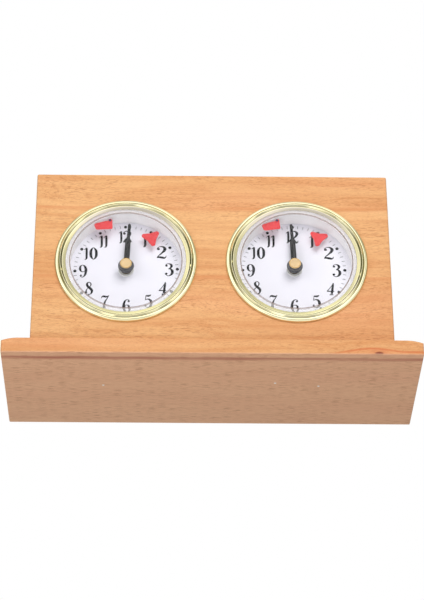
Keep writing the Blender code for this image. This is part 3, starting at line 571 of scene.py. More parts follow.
def base_marks(n, p, colour):
    """Marks of the base board: a reddish streak with a small dark knot on its front edge, and an
    underside painted paler and rosier for the cool light on it, with a darker growth line just behind that edge."""
    x, y, z = n.split(p)
    front_y = BASE_LO.y
    wave = n.swing(n.noise(p, per_mm=(0.035, 0.05, 0.05)), span=3.4)
    low_wave, deep_wave = n.times(wave, 0.3), n.times(wave, 0.6)
    # the streak rises from the bottom arris, arches over the knot and sinks towards the end
    crest = n.minus(n.step(x, over=(58.0, 82.0), to=(0.2, 3.7)),
                    n.step(x, over=(84.0, 102.0), to=(0.0, 2.0)))
    level = n.minus(n.plus(z, low_wave), crest)
    rim = n.band(level, rise=(-1.1, -0.1), fall=(0.1, 0.9))
    inside = n.step(level, over=(-0.4, 0.4), to=FADE)
    near = n.times(n.step(x, over=(55.0, 74.0)),
                   n.step(y, over=(front_y + 0.2, front_y + 1.6), to=FADE))
    colour = n.tint(colour, srgb(214, 128, 78), n.times(inside, near), strength=0.34)
    colour = n.tint(colour, srgb(198, 104, 58), n.times(rim, near), strength=0.66)
    # knot, an ellipsoid of 1 / scale mm, with a reddish halo
    knot = n.vector("SUBTRACT", p, (86.6, front_y, 0.6))
    knot = n.length(n.vector("MULTIPLY", knot, (0.34, 0.6, 0.72)))
    colour = n.mix(n.step(knot, over=(0.45, 1.0), to=FADE), colour, srgb(52, 22, 20))
    colour = n.mix(n.step(knot, over=(0.6, 2.6), to=(0.35, 0.0)), colour, srgb(190, 96, 60))
    # underside: painted paler and rosier, standing in for the cool light it gets from below, with its own crisp
    # flecks
    under = n.step(z, over=(0.2, 0.8), to=FADE)
    colour = n.tint(colour, srgb(236, 184, 149), under, strength=0.72)
    wavy = n.vector("ADD", p, n.add("ShaderNodeCombineXYZ", {"Y": wave}).outputs[0])
    raw = n.step(n.noise(wavy, per_mm=(0.17, 3.0, 0.4), detail=1.0, rough=0.4), over=(0.57, 0.62))
    some = n.step(n.noise(p, per_mm=(0.03, 0.12, 0.1), detail=1.0), over=(0.35, 0.6),
                  to=(0.35, 1.0))
    fleck_share, line_share = 0.8, 0.95
    flecks = n.times(n.times(raw, some), n.times(under, fleck_share))
    colour = n.mix(flecks, colour, srgb(184, 130, 98))
    # growth line of the underside, 5.6 mm behind the front edge
    depth = n.math("ABSOLUTE", n.minus(n.plus(y, deep_wave), front_y + 5.6))
    line = n.step(depth, over=(0.2, 2.6), to=FADE)
    patchy = n.step(n.noise(p, per_mm=(0.02, 0.3, 0.3), detail=1.0), over=(0.30, 0.62),
                    to=(0.35, 1.0))
    line = n.times(n.times(line, under), n.times(patchy, line_share))
    return n.mix(line, colour, srgb(180, 112, 88))


def front_marks(n, p, colour):
    """Two thin reddish growth lines along the front panel, one above the other."""
    z = n.split(p)[2]
    sway = n.swing(n.noise(p, per_mm=(0.02, 0.0, 0.02), detail=1.0), span=7.0)
    for level, strength in ((93.2, 0.55), (49.5, 0.6)):
        off = n.minus(n.plus(z, sway), level)
        edge = n.band(off, rise=(-3.4, -0.2), fall=(0.0, 0.7))
        patchy = n.step(n.noise(p, per_mm=(0.014, 0.0, 0.1), detail=1.0), over=(0.32, 0.62),
                        to=(0.25, 1.0))
        colour = n.tint(colour, srgb(208, 134, 84), n.times(edge, patchy), strength)
    return colour


WOOD_FRONT = beech("beech_front", extra=front_marks)
WOOD_BASE = beech("beech_base", seed=3.0, extra=base_marks)
WOOD_TOP = beech("beech_top", seed=7.0)
WOOD_BACK = beech("beech_back", seed=11.0, light=srgb(232, 178, 126), dark=srgb(216, 152, 100))
WOOD_SIDE = {
    "left": beech("beech_side_left", seed=5.0, upright=True),
    "right": beech("beech_side_right", seed=9.0, upright=True),
}
GOLD = gold()
BRASS = metal("brass_lacquered", srgb(214, 178, 112), rough=0.26)
BRASS_SATIN = metal("brass_satin", srgb(222, 188, 128), rough=0.34, mottling=0.05, tool_marks=0.15)
STEEL = metal("steel_bright", srgb(190, 192, 196), rough=0.28)
BLUED = metal("steel_blued", srgb(70, 84, 132), rough=0.3)
SILVER = paint("dial_bush_silver", srgb(222, 221, 216), rough=0.3, specular=0.7)
DIAL_WHITE = paint("dial_enamel_white", srgb(236, 235, 243), rough=0.45, specular=0.3, vary=0.02,
                   bump_mm=0.01)
SURROUND = paint("surround_white_plastic", srgb(250, 247, 246), vary=0.015)
INK = paint("dial_ink_black", srgb(30, 30, 36), rough=0.6, specular=0.2, vary=0.15, grain=14.0)
INK_GREY = paint("dial_ink_tick", srgb(88, 90, 96), rough=0.5, vary=0.1, grain=14.0)
BLACK = paint("hand_black_lacquer", srgb(32, 32, 34), rough=0.38, specular=0.3, vary=0.1)
BOSS = paint("hand_boss_dark", srgb(72, 72, 74), rough=0.36, vary=0.1)
RED = paint("red_lacquer", srgb(228, 72, 76), rough=0.45, specular=0.3, vary=0.10, grain=3.0,
            bump_mm=0.05)
CRYSTAL = clear_crystal()
CAP = metal("hand_cap_rosy", srgb(228, 198, 152), rough=0.36)
BRAD = paint("brad_head_pale", srgb(246, 236, 224))

# what the CAD's own pieces wear, by material slot
SLOT_FINISH = {
    "beech": WOOD_BACK, "bezel_gold": GOLD, "crystal": CRYSTAL, "white_plastic": SURROUND,
    "dial_white": DIAL_WHITE, "black_lacquer": BLACK, "red_lacquer": RED, "brass": BRASS,
    "steel": STEEL, "blued_steel": BLUED,
}
for part in frame["record"]["subparts"]:
    mesh = frame["nodes"][part["node"]].data
    mesh.materials.clear()
    mesh.materials.append(SLOT_FINISH[part["material_slot"]])


# ---------------------------------------------------------------- case
BEZEL_HOLE = 33.6           # radii of the holes in the case
BUTTON_HOLE = 3.85
SETTING_HOLE = 3.4
WINDING_HOLE = 4.0


def base_board():
    """Small arrises below, a long shallow round-over above, drawn as an end view in XZ."""
    half, top = BASE_HI.x, BASE_HI.z
    over_wide, over_high, over_steps = 9.0, 1.7, 12
    right = [(half - 0.7, 0.0), (half - 0.3, 0.08), (half - 0.08, 0.3), (half, 0.7)]
    for k in range(over_steps + 1):
        t = k / over_steps
        right.append((half - over_wide * t, top - over_high * (1 - t) ** 2))
    bm = plate(right + mirrored(right), BASE_LO.y, BASE_HI.y, ease=0.7, steps=3)
    piece("base_board_eased", bm, WOOD_BASE, "beech", replaces="base_board", angle=20)


def panels():
    front = eased_board("front_panel", WOOD_FRONT, ease=0.9)
    cut(front, [drill(BEZEL_HOLE, FACE, PANEL_HI.y, CENTRE[side], sides=96) for side in SIDES])
    for side in SIDES:
        eased_board(f"side_panel_{side}", WOOD_SIDE[side], ease=0.6)
    top = eased_board("top_panel", WOOD_TOP, ease=0.6)
    cut(top, [drill(BUTTON_HOLE, TOP_LO.z, TOP_HI.z, BUTTON_AT[side], upright=True)
              for side in SIDES])
    back = eased_board("back_panel", WOOD_BACK, ease=0.4, segments=2)
    cut(back, [drill(radius, BACK_LO.y, BACK_HI.y, at[side])
               for side in SIDES
               for radius, at in ((SETTING_HOLE, HUB), (WINDING_HOLE, WIND_AT))])


BACK_SCREWS = [             # x, z, turn of the slot in degrees
    (-80.0, 17.0, 25), (80.0, 17.0, 118), (-80.0, 97.5, 74),
    (80.0, 97.5, 12), (0.0, 17.0, 150), (0.0, 97.5, 95),
]


def back_screw(name, at, slot_turn):
    """A slotted screw head, flush in the back panel."""
    radius, slot_half, slot_floor = 2.6, 0.35, 0.12
    profile = [(0, -0.1), (radius, -0.1), (radius, 0.12), (radius - 0.35, 0.42), (0, 0.5)]
    head = turned_piece(name, profile, at, BRASS, "brass", sides=40, level=BACK_HI.y,
                        ease=0.12, steps=5)
    end = radius + 1
    slot = [(-end, -slot_half), (end, -slot_half), (end, slot_half), (-end, slot_half)]
    slot = turned(slot, slot_turn, at)
    cutter = bmesh.new()
    add_prism(cutter, [(x, BACK_HI.y + slot_floor, z) for x, z in slot],
              [(x, BACK_HI.y + 2, z) for x, z in slot])
    cut(head, [cutter])


def ferrule(name, at, inner):
    """A flat brass ring round a hole in the back panel."""
    outer = inner + 1.7
    ring = [(inner, 0.02), (inner, 0.38), (outer, 0.38), (outer, 0.02)]
    turned_piece(name, ring, at, BRASS, "brass", sides=64, level=BACK_HI.y, ease=0.12)


def button_bush(side):
    """Flanged bush round the button's stem, let into the top panel."""
    ring = [(3.72, -3.0), (3.72, 0.2), (5.6, 0.2), (5.6, 0.02), (3.84, 0.02), (3.84, -3.0)]
    turned_piece(f"button_bush_{side}", ring, BUTTON_AT[side], BRASS, "brass", sides=64,
                 level=PANEL_HI.z, ease=0.05, upright=True)


def base_brads():
    """Small brad heads that show as bright specks in the underside."""
    profile = [(0, -0.08), (0.65, -0.08), (0.65, 0.3), (0, 0.3)]
    for k, at in enumerate(((-57.5, -4.0), (33.8, -7.5), (57.0, -4.5))):
        turned_piece(f"base_brad_{k + 1}", profile, at, BRAD, "steel", sides=20,
                     ease=0.08, steps=2, upright=True)


base_board()
panels()
for k, (x, z, slot_turn) in enumerate(BACK_SCREWS):
    back_screw(f"back_screw_{k + 1}", (x, z), slot_turn)
for side in SIDES:
    ferrule(f"setting_ferrule_{side}", HUB[side], inner=3.0)
    ferrule(f"winding_ferrule_{side}", WIND_AT[side], inner=3.6)
    button_bush(side)
base_brads()


# ---------------------------------------------------------------- buttons, knobs, keys
# Profiles: radius, height, own corner radius.
BUTTON_STEM = [(0, 0), (0.9, 0), (2.6, 2.0), (4.9, 2.2, 0.1), (4.9, 3.6, 0.1), (3.6, 3.8, 0.05)]
BUTTON_FLARE = [(3.6, 3.9, 0.1), (6.4, 3.9, 0.3), (7.0, 4.5, 0.3)]
BUTTON_CROWN = [
    (7.0, -1.9, 0.2), (6.9, -1.75, 0.05), (6.62, -1.72, 0.05), (6.6, -1.5, 0.1),
    (6.5, -0.9, 0.4), (5.2, -0.25, 0.8), (2.6, -0.03), (0, 0),
]
KEY_BARREL = [
    (1.6, 0), (3.1, 0), (3.1, 3.7), (2.6, 5.6), (1.6, 6.3), (0, 6.3), (0, 4.7), (1.6, 4.7),
]
KEY_WING = [                # x from the key's axis, y from its foot
    (2.2, 4.2), (3.4, 3.8), (8.8, 2.9), (11.2, 5.0), (11.0, 8.7), (8.6, 11.3), (5.0, 10.5),
    (2.0, 7.6),
]


def button(side):
    """Stem heights count from the foot, the flare's from the front panel's top edge."""
    low, high = box_mm(f"button_{side}")
    profile = lift(BUTTON_STEM, low.z) + lift(BUTTON_FLARE, PANEL_HI.z)
    profile += lift(BUTTON_CROWN, high.z)
    turned_piece(f"button_{side}_turned", profile, BUTTON_AT[side], BRASS_SATIN, "brass",
                 sides=96, ease=0.05, steps=4, upright=True, angle=28,
                 body=f"{side}_button", replaces=f"button_{side}")


def setting_knob(side):
    """A knurled knob on a plain collar."""
    at = HUB[side]
    low, high = box_mm(f"setting_knob_{side}")
    teeth, valley, crest = 30, 4.86, 5.14
    loop = []
    for k in range(teeth):
        for part, radius in ((0.0, valley), (0.28, crest), (0.5, crest), (0.78, valley)):
            angle = 2 * math.pi * (k + part) / teeth
            loop.append((at[0] + radius * math.cos(angle), at[1] + radius * math.sin(angle)))
    bm = plate(loop, low.y + 2.8, high.y, ease=0.45, steps=3, hole=circle(ARBOR_HOLE, 32, at))
    piece(f"setting_knob_{side}_knurled", bm, BRASS, "brass", body=f"{side}_hands", angle=40)
    collar = [(ARBOR_HOLE, 0), (3.0, 0), (3.0, 2.9), (ARBOR_HOLE, 2.9)]
    turned_piece(f"setting_collar_{side}", collar, at, BRASS, "brass", sides=48, level=low.y,
                 ease=0.25, body=f"{side}_hands", replaces=f"setting_knob_{side}")


def winding_key(side):
    """A turned barrel with two flat wings."""
    x, z = WIND_AT[side]
    foot = box_mm(f"winding_key_{side}")[0].y
    half_thick = 0.7
    turned_piece(f"winding_key_barrel_{side}", KEY_BARREL, (x, z), BRASS, "brass", sides=56,
                 level=foot, ease=0.3, body=f"{side}_winding")
    right = lift(KEY_WING, foot)
    wings = ease_corners(right + mirrored(right), 1.8, steps=5)
    wings = [(x + across, y) for across, y in wings]
    # the loop lies in XY here, and the plate's thickness runs along Z
    bm = plate(wings, z - half_thick, z + half_thick, ease=0.3, steps=3,
               place=lambda across, level, y: (across, y, level))
    piece(f"winding_key_wings_{side}", bm, BRASS, "brass", body=f"{side}_winding",
          replaces=f"winding_key_{side}")


for side in SIDES:
    button(side)
for side in SIDES:
    setting_knob(side)
    winding_key(side)


# ---------------------------------------------------------------- dial print
# Strokes of each numeral, as (x, z, pen width) points from its middle. A pen stroke is open, a
# loop is closed, and a dot is (x, z, radius).
GLYPHS = {
    "0": [
        ("loop", [(1.25, 0.0, 1.25), (1.05, 2.1, 1.05), (0.0, 3.68, 0.38), (-1.05, 2.1, 1.05),
                  (-1.25, 0.0, 1.25), (-1.05, -2.1, 1.05), (0.0, -3.68, 0.38),
                  (1.05, -2.1, 1.05)]),
    ],
    "1": [
        ("pen", [(0.25, 3.75, 0.9), (0.25, 2.0, 1.25), (0.2, -1.8, 1.25), (0.1, -3.0, 1.05)]),
        ("pen", [(-1.25, 2.35, 0.22), (-0.6, 2.95, 0.4), (0.2, 3.55, 0.55)]),
        ("pen", [(0.3, -2.7, 1.0), (-0.2, -3.45, 0.8), (-0.95, -3.8, 0.25)]),
    ],
    "2": [
        ("dot", [(-1.35, 2.25, 0.66)]),
        ("pen", [(-1.85, 2.3, 0.3), (-1.55, 3.1, 0.35), (-0.6, 3.75, 0.4), (0.7, 3.6, 0.85),
                 (1.5, 2.5, 1.35), (1.2, 1.1, 1.2), (0.1, -0.4, 0.75), (-1.2, -1.9, 0.45),
                 (-1.95, -3.1, 0.4)]),
        ("pen", [(-2.0, -3.3, 0.45), (-1.2, -2.95, 0.95), (0.1, -3.2, 1.25), (1.1, -3.5, 1.0),
                 (1.8, -3.0, 0.45), (2.0, -2.2, 0.25)]),
    ],
    "3": [
        ("dot", [(-1.15, 2.55, 0.6)]),
        ("pen", [(-1.6, 2.6, 0.3), (-1.2, 3.4, 0.35), (-0.2, 3.8, 0.4), (0.9, 3.35, 0.95),
                 (1.3, 2.3, 1.2), (0.8, 1.15, 0.8), (-0.25, 0.55, 0.3)]),
        ("pen", [(-0.3, 0.55, 0.3), (0.8, 0.35, 0.75), (1.55, -0.8, 1.3), (1.45, -2.3, 1.3),
                 (0.6, -3.5, 0.75), (-0.5, -3.85, 0.38), (-1.5, -3.2, 0.32),
                 (-1.85, -2.5, 0.3)]),
        ("dot", [(-1.35, -2.5, 0.62)]),
    ],
    "4": [
        ("pen", [(1.45, 3.8, 0.35), (0.2, 1.6, 0.35), (-1.0, -0.2, 0.38), (-1.95, -1.35, 0.42)]),
        ("pen", [(-2.0, -1.35, 0.5), (-0.5, -1.35, 0.62), (1.9, -1.35, 0.55)]),
        ("pen", [(1.35, 3.7, 0.7), (1.1, 1.6, 1.15), (0.85, -1.0, 1.25), (0.65, -2.9, 1.15)]),
        ("pen", [(-0.5, -3.65, 0.3), (0.55, -3.4, 0.6), (1.6, -3.65, 0.3)]),
    ],
    "5": [
        ("pen", [(-1.05, 3.55, 0.4), (-0.4, 3.2, 0.95), (0.7, 3.25, 1.0), (1.6, 3.85, 0.3)]),
        ("pen", [(-0.95, 3.5, 0.38), (-1.15, 2.0, 0.36), (-1.3, 0.55, 0.36)]),
        ("pen", [(-1.3, 0.6, 0.3), (-0.3, 1.15, 0.5), (0.95, 0.75, 1.05), (1.6, -0.7, 1.35),
                 (1.35, -2.5, 1.2), (0.4, -3.6, 0.65), (-0.6, -3.8, 0.36), (-1.5, -3.2, 0.3),
                 (-1.8, -2.6, 0.3)]),
        ("dot", [(-1.3, -2.55, 0.6)]),
    ],
    "6": [
        ("dot", [(1.05, 2.75, 0.55)]),
        ("pen", [(1.5, 2.8, 0.28), (1.05, 3.55, 0.32), (0.2, 3.75, 0.38), (-0.9, 2.7, 0.9),
                 (-1.45, 0.6, 1.3), (-1.5, -1.4, 1.35), (-0.9, -3.1, 0.95), (0.1, -3.82, 0.36),
                 (1.15, -3.1, 0.85), (1.45, -1.7, 1.2), (1.15, -0.3, 0.9), (0.3, 0.4, 0.4),
                 (-0.7, 0.1, 0.3), (-1.2, -0.8, 0.3)]),
    ],
    "7": [
        ("pen", [(-1.95, 2.1, 0.28), (-1.65, 3.0, 0.6), (-0.9, 3.3, 1.1), (0.2, 3.0, 1.1),
                 (1.1, 3.15, 0.7), (1.85, 3.75, 0.3)]),
        ("pen", [(1.8, 3.65, 0.35), (0.9, 1.9, 0.45), (-0.1, 0.1, 0.75), (-0.6, -1.9, 1.25),
                 (-0.65, -3.7, 1.5)]),
    ],
    "8": [
        ("loop", [(0.95, 2.3, 0.6), (0.45, 3.55, 0.42), (-0.45, 3.6, 0.5), (-1.1, 2.6, 1.05),
                  (-0.7, 1.2, 1.25), (0.6, -0.2, 1.35), (1.4, -1.6, 1.25), (1.0, -3.3, 0.7),
                  (0.0, -3.82, 0.38), (-1.05, -3.3, 0.5), (-1.55, -2.0, 0.7),
                  (-1.1, -0.6, 0.42), (0.2, 0.7, 0.36)]),
    ],
}
# a 9 is a 6 given half a turn
GLYPHS["9"] = [(kind, [(-x, -z, width) for x, z, width in points]) for kind, points in GLYPHS["6"]]
SLANT = {"4": 0.05}         # x per z

NUMERALS = [                # x, z, digits as (character, x offset, width scale), from 12 to 11
    (-0.4, 21.1, (("1", -2.2, 0.88), ("2", 1.15, 1.05))),
    (10.3, 18.3, (("1", 0.0, 1.0),)),
    (19.2, 10.8, (("2", 0.0, 1.24),)),
    (23.0, -0.2, (("3", 0.0, 1.12),)),
    (19.4, -11.9, (("4", 0.0, 1.0),)),
    (11.4, -19.6, (("5", 0.0, 1.05),)),
    (0.0, -22.3, (("6", 0.0, 1.05),)),
    (-11.3, -19.5, (("7", 0.0, 1.05),)),
    (-19.9, -11.0, (("8", 0.0, 1.05),)),
    (-23.2, -0.2, (("9", 0.0, 1.05),)),
    (-18.9, 10.9, (("1", -2.5, 0.92), ("0", 1.45, 1.2))),
    (-12.0, 18.5, (("1", -1.2, 0.92), ("1", 1.3, 0.92))),
]
PRINT_BACK = DIAL + 0.01    # the print reaches this far into the dial
MARK_FRONT = DIAL - 0.05
GLYPH_FRONT = DIAL - 0.055
DIGIT_RISE, STROKE_RISE = 0.02, 0.004       # keep overlapping strokes from sharing a face


def stroke_edges(points, closed, steps=8):
    """The two edges of a pen stroke that runs smoothly through (x, z, width) points."""
    points = [Vector(p) for p in points]

    def pick(row, k):
        return row[k % len(row)] if closed else row[min(max(k, 0), len(row) - 1)]

    dense = []
    for k in range(len(points) if closed else len(points) - 1):
        p0, p1, p2, p3 = (pick(points, k + d) for d in (-1, 0, 1, 2))
        for s in range(steps):
            t = s / steps
            dense.append(0.5 * ((2 * p1) + (p2 - p0) * t + (2 * p0 - 5 * p1 + 4 * p2 - p3) * t * t
                                + (3 * p1 - p0 - 3 * p2 + p3) * t ** 3))
    if not closed:
        dense.append(points[-1])
    left, right = [], []
    for k, p in enumerate(dense):
        along = pick(dense, k + 1) - pick(dense, k - 1)
        half = Vector((-along.y, along.x)).normalized() * p.z / 2
        left.append((p.x + half.x, p.y + half.y))
        right.append((p.x - half.x, p.y - half.y))
    return left, right


def add_strip(bm, left, right, place, front, closed=False):
    """A solid strip between two rows of points."""
    rows = []
    for a, b in zip(left, right):
        corners = ((a, front), (b, front), (b, PRINT_BACK), (a, PRINT_BACK))
        rows.append([bm.verts.new(place(*point, y)) for point, y in corners])
    for one, other in (around(rows) if closed else zip(rows, rows[1:])):
        join_rings(bm, one, other)
    if not closed:
        bm.faces.new(rows[0])
        bm.faces.new(rows[-1][::-1])


def add_disc(bm, x, z, radius, place, front):
    rim = circle(radius, 20, (x, z))
    add_prism(bm, [place(*point, front) for point in rim],
              [place(*point, PRINT_BACK) for point in rim])


def add_glyph(bm, char, x, z, side, wide, front):
    """Adds one numeral centred on (x, z) of a side's print."""
    at = PRINT_AT[side]
    turn = math.radians(PRINT_TURN[side])
    cos, sin = math.cos(turn), math.sin(turn)
    slant = SLANT.get(char, 0.0)

    def place(across, up, y):
        a, b = x + across * wide + up * slant, z + up
        return (at[0] + a * cos - b * sin, y, at[1] + a * sin + b * cos)

    for k, (kind, points) in enumerate(GLYPHS[char]):
        top = front - STROKE_RISE * k
        if kind == "dot":
            add_disc(bm, *points[0], place, top)
        else:
            closed = kind == "loop"
            add_strip(bm, *stroke_edges(points, closed), place, top, closed)


def dial_print(side):
    """Numerals with a dot at each hour, and a tick at each of the other minutes."""
    dot_at, dot_radius = 27.5, 0.86
    tick_from, tick_to, half = 26.6, 28.25, 0.13
    at = PRINT_AT[side]
    numerals, minutes = bmesh.new(), bmesh.new()
    for x, z, digits in NUMERALS:
        for k, (char, offset, wide) in enumerate(digits):
            add_glyph(numerals, char, x + offset, z, side, wide, GLYPH_FRONT - DIGIT_RISE * k)

    def place(across, up, y):
        return (at[0] + across, y, at[1] + up)

    start = math.pi / 2 + math.radians(PRINT_TURN[side])
    for k in range(60):
        angle = start - 2 * math.pi * k / 60
        c, s = math.cos(angle), math.sin(angle)
        if k % 5 == 0:
            add_disc(numerals, dot_at * c, dot_at * s, dot_radius, place, MARK_FRONT)
        else:
            left, right = ([(r * c - w * s, r * s + w * c) for r in (tick_from, tick_to)]
                           for w in (half, -half))
            add_strip(minutes, left, right, place, MARK_FRONT)
    piece(f"dial_numerals_{side}", numerals, INK, "black_lacquer", smooth=False)
    piece(f"dial_minutes_{side}", minutes, INK_GREY, "black_lacquer", smooth=False)


# ---------------------------------------------------------------- dials
# Profiles: radius, y from FACE or DIAL (minus is towards the front), own corner radius.
BEZEL_FRONT = [             # from FACE: flange, groove, rolled crest, groove, slope, inner lip
    (38.0, -0.06, 0.03), (38.0, -0.75, 0.3), (37.65, -1.3, 0.3), (36.9, -1.6, 0.4),
    (36.3, -1.66, 0.15), (36.05, -1.36, 0.08), (35.2, -2.26, 0.12), (34.98, -2.28, 0.12),
    (34.2, -1.46, 0.08), (33.95, -1.52, 0.08), (32.25, -1.1, 0.15), (32.1, -0.92, 0.05),
    (32.3, -0.72, 0.05), (32.95, -0.7, 0.04),
]
BEZEL_SEAT = [(32.95, 0.55, 0.05), (31.6, 0.55, 0.05), (31.6, 0.95, 0.05), (33.3, 0.95, 0.05)]
BEZEL_END = [(33.3, -0.06, 0.03)]
CRYSTAL_PANE = [            # from FACE: even, nearly flat, with a rim that slopes back
    (0, -1.74), (18.0, -1.7, 4.0), (29.5, -1.6, 0.5), (30.1, -1.42, 0.15), (31.95, -0.82, 0.1),
    (32.3, -0.64, 0.08), (32.82, -0.62, 0.03), (32.82, 0.18, 0.03), (31.6, 0.1, 0.1),
    (30.05, -0.38, 0.15), (29.5, -0.55, 0.5), (18.0, -0.66, 4.0), (0, -0.7),
]
DIAL_BUSH = [
    (DIAL_HOLE, 0.1), (DIAL_HOLE, -0.8), (3.3, -0.85, 0.1), (3.5, -0.55, 0.1), (3.65, -0.9, 0.1),
    (4.05, -0.95, 0.12), (4.2, -0.75, 0.1), (4.22, -0.01),
]
FLAG_PIN = [(0, 0.1), (0.33, 0.1), (0.33, -6.38), (0.62, -6.4), (0.62, -6.62), (0, -6.7)]


def bezel_and_crystal(side):
    at = CENTRE[side]
    profile = lift(BEZEL_FRONT, FACE) + lift(BEZEL_SEAT, DIAL) + lift(BEZEL_END, FACE)
    turned_piece(f"bezel_{side}_rolled", profile, at, GOLD, "bezel_gold", sides=160, steps=4,
                 angle=40, replaces=f"bezel_{side}")
    turned_piece(f"crystal_{side}_clear", CRYSTAL_PANE, at, CRYSTAL, "crystal", sides=160,
                 level=FACE, steps=4, angle=25, replaces=f"crystal_{side}")


def dial(side):
    """Flared surround, dial plate, and the bush round the arbor."""
    surround = lift([(32.45, 0.25, 0.1), (32.82, 0.25, 0.05)], FACE)
    surround += lift([(32.82, -0.06, 0.05), (30.3, -0.06, 0.05)], DIAL)
    turned_piece(f"dial_surround_{side}_flared", surround, CENTRE[side], SURROUND,
                 "white_plastic", sides=128, ease=0.05, replaces=f"dial_surround_{side}")
    bm = plate(circle(32.7, 128, CENTRE[side]), DIAL, DIAL + 0.48, ease=0.06, steps=1,
               hole=circle(DIAL_HOLE, 48, HUB[side]))
    piece(f"dial_{side}_plate", bm, DIAL_WHITE, "dial_white", replaces=f"dial_{side}")
    turned_piece(f"dial_bush_{side}", DIAL_BUSH, HUB[side], SILVER, "dial_white", sides=64,
                 level=DIAL)


def flag_pin(side):
    turned_piece(f"flag_pin_{side}", FLAG_PIN, JOINT_AT[f"{side}_flag_drop"], BLUED,
                 "blued_steel", sides=28, level=DIAL)


# ---------------------------------------------------------------- hands, stars, flags
# Half outlines of the blades from foot to tip: x, z from the arbor, own corner radius.
HOUR_BLADE = [(1.55, 2.9, 0.3), (1.45, 16.4, 0.2), (2.25, 16.1, 0.25)]
HOUR_TIP = [(0.0, 20.0, 0.35)]
MINUTE_BLADE = [(1.0, 4.0, 0.2), (0.85, 17.0, 2.0), (0.78, 26.0, 0.3), (0.45, 26.75, 0.3)]
# Profiles: radius, y from DIAL, own corner radius.
HOUR_BOSS = [(HOUR_HOLE, -2.62), (HOUR_HOLE, -1.6), (3.0, -1.6), (3.0, -2.62)]
MINUTE_BOSS = [
    (ARBOR_HOLE, -3.9), (4.15, -3.9, 0.2), (4.35, -4.4, 0.2), (4.15, -4.85, 0.15),
    (3.85, -5.1, 0.2), (3.72, -5.9, 0.2), (3.45, -6.5, 0.3), (ARBOR_HOLE, -6.5),
]
HAND_CAP = [
    (0, -6.5), (3.05, -6.5), (3.12, -6.6, 0.1), (3.12, -7.1, 0.15), (2.8, -7.42, 0.2),
    (2.2, -7.5, 0.4), (0, -7.58),
]
STAR_HEAD = [(0, -3.8), (0.95, -3.8), (0.95, -3.92, 0.08), (0.6, -4.0, 0.2), (0, -4.02)]
FLAG_OUTLINE = [            # x, z from the pin, own corner radius
    (0.8, -5.5, 0.9), (1.35, 0.2, 0.6), (0.75, 0.95, 0.35), (-0.55, 0.95, 0.35),
    (-0.95, -0.1, 0.3), (-2.6, -0.1, 0.5), (-8.9, -1.0, 1.3), (-8.2, -4.9, 1.1),
]


def hand_blade(name, side, blade, eye, eye_from, hole, degrees, front, body):
    """A flat blade whose foot runs into a ring of radius `eye`, which starts at eye_from degrees."""
    at = HUB[side]
    ring = [(*polar(eye, d), 0.1) for d in range(eye_from, 541 - eye_from, 10)]
    loop = turned(ease_corners(blade + ring, 0.2, steps=3), -degrees, at)
    bm = plate(loop, DIAL + front, DIAL + front + 0.4, ease=0.12, hole=hole)
    piece(name, bm, BLACK, "black_lacquer", body=body)


def hour_hand(side):
    body = f"{side}_hour_work"
    hand_blade(f"hour_hand_{side}_blade", side, HOUR_BLADE + HOUR_TIP + mirrored(HOUR_BLADE),
               eye=3.15, eye_from=130, hole=circle(HOUR_HOLE, 40, HUB[side]),
               degrees=REST[side]["hour"], front=-3.0, body=body)
    turned_piece(f"hour_boss_{side}", HOUR_BOSS, HUB[side], BLACK, "black_lacquer", sides=56,
                 level=DIAL, ease=0.12, body=body, replaces=f"hour_hand_{side}")


def minute_hand(side):
    """The blade, its stepped boss and the cap in front of it."""
    body = f"{side}_hands"
    hand_blade(f"minute_hand_{side}_blade", side, MINUTE_BLADE + mirrored(MINUTE_BLADE),
               eye=4.3, eye_from=110, hole=circle(ARBOR_HOLE, 32, HUB[side]),
               degrees=REST[side]["minute"], front=-4.6, body=body)
    turned_piece(f"minute_boss_{side}", MINUTE_BOSS, HUB[side], BOSS, "black_lacquer", sides=72,
                 level=DIAL, steps=4, body=body, replaces=f"minute_hand_{side}")
    turned_piece(f"hand_cap_{side}", HAND_CAP, HUB[side], CAP, "brass", sides=72, level=DIAL,
                 steps=4, body=body)


def tick_star(side):
    """Three round lobes with hollows between them, and a small head in the middle."""
    at = JOINT_AT[f"{side}_escape_turn"]
    body = f"{side}_escape"
    lobe_at, lobe_radius = 4.05, 1.32
    hollow = ((42, 3.15), (60, 2.7), (78, 3.15))        # degrees past the lobe, radius
    loop = []
    for lobe in range(3):
        degrees = REST[side]["star"] + 120 * lobe
        tip = polar(lobe_at, degrees)
        loop += [polar(lobe_radius, degrees + d, tip) for d in range(-84, 85, 24)]
        loop += [polar(radius, degrees + d) for d, radius in hollow]
    loop = ease_corners([(at[0] + x, at[1] + z) for x, z in loop], 0.4, steps=2)
    piece(f"tick_star_{side}_lobed", plate(loop, DIAL - 3.85, DIAL - 3.3, ease=0.16), RED,
          "red_lacquer", body=body, replaces=f"tick_star_{side}", angle=40)
    turned_piece(f"tick_star_{side}_head", STAR_HEAD, at, RED, "red_lacquer", sides=28,
                 level=DIAL, ease=0.08, body=body)


def flag(side):
    at = JOINT_AT[f"{side}_flag_drop"]
    loop = turned(ease_corners(FLAG_OUTLINE, 0.5, steps=4), REST[side]["flag"], at)
    bm = plate(loop, DIAL - 6.3, DIAL - 6.0, ease=0.08, hole=circle(0.42, 20, at))
    piece(f"flag_{side}_leaf", bm, RED, "red_lacquer", body=f"{side}_flag",
          replaces=f"flag_{side}")


for side in SIDES:
    for build in (bezel_and_crystal, dial, flag_pin, dial_print, hour_hand, minute_hand,
                  tick_star, flag):
        build(side)


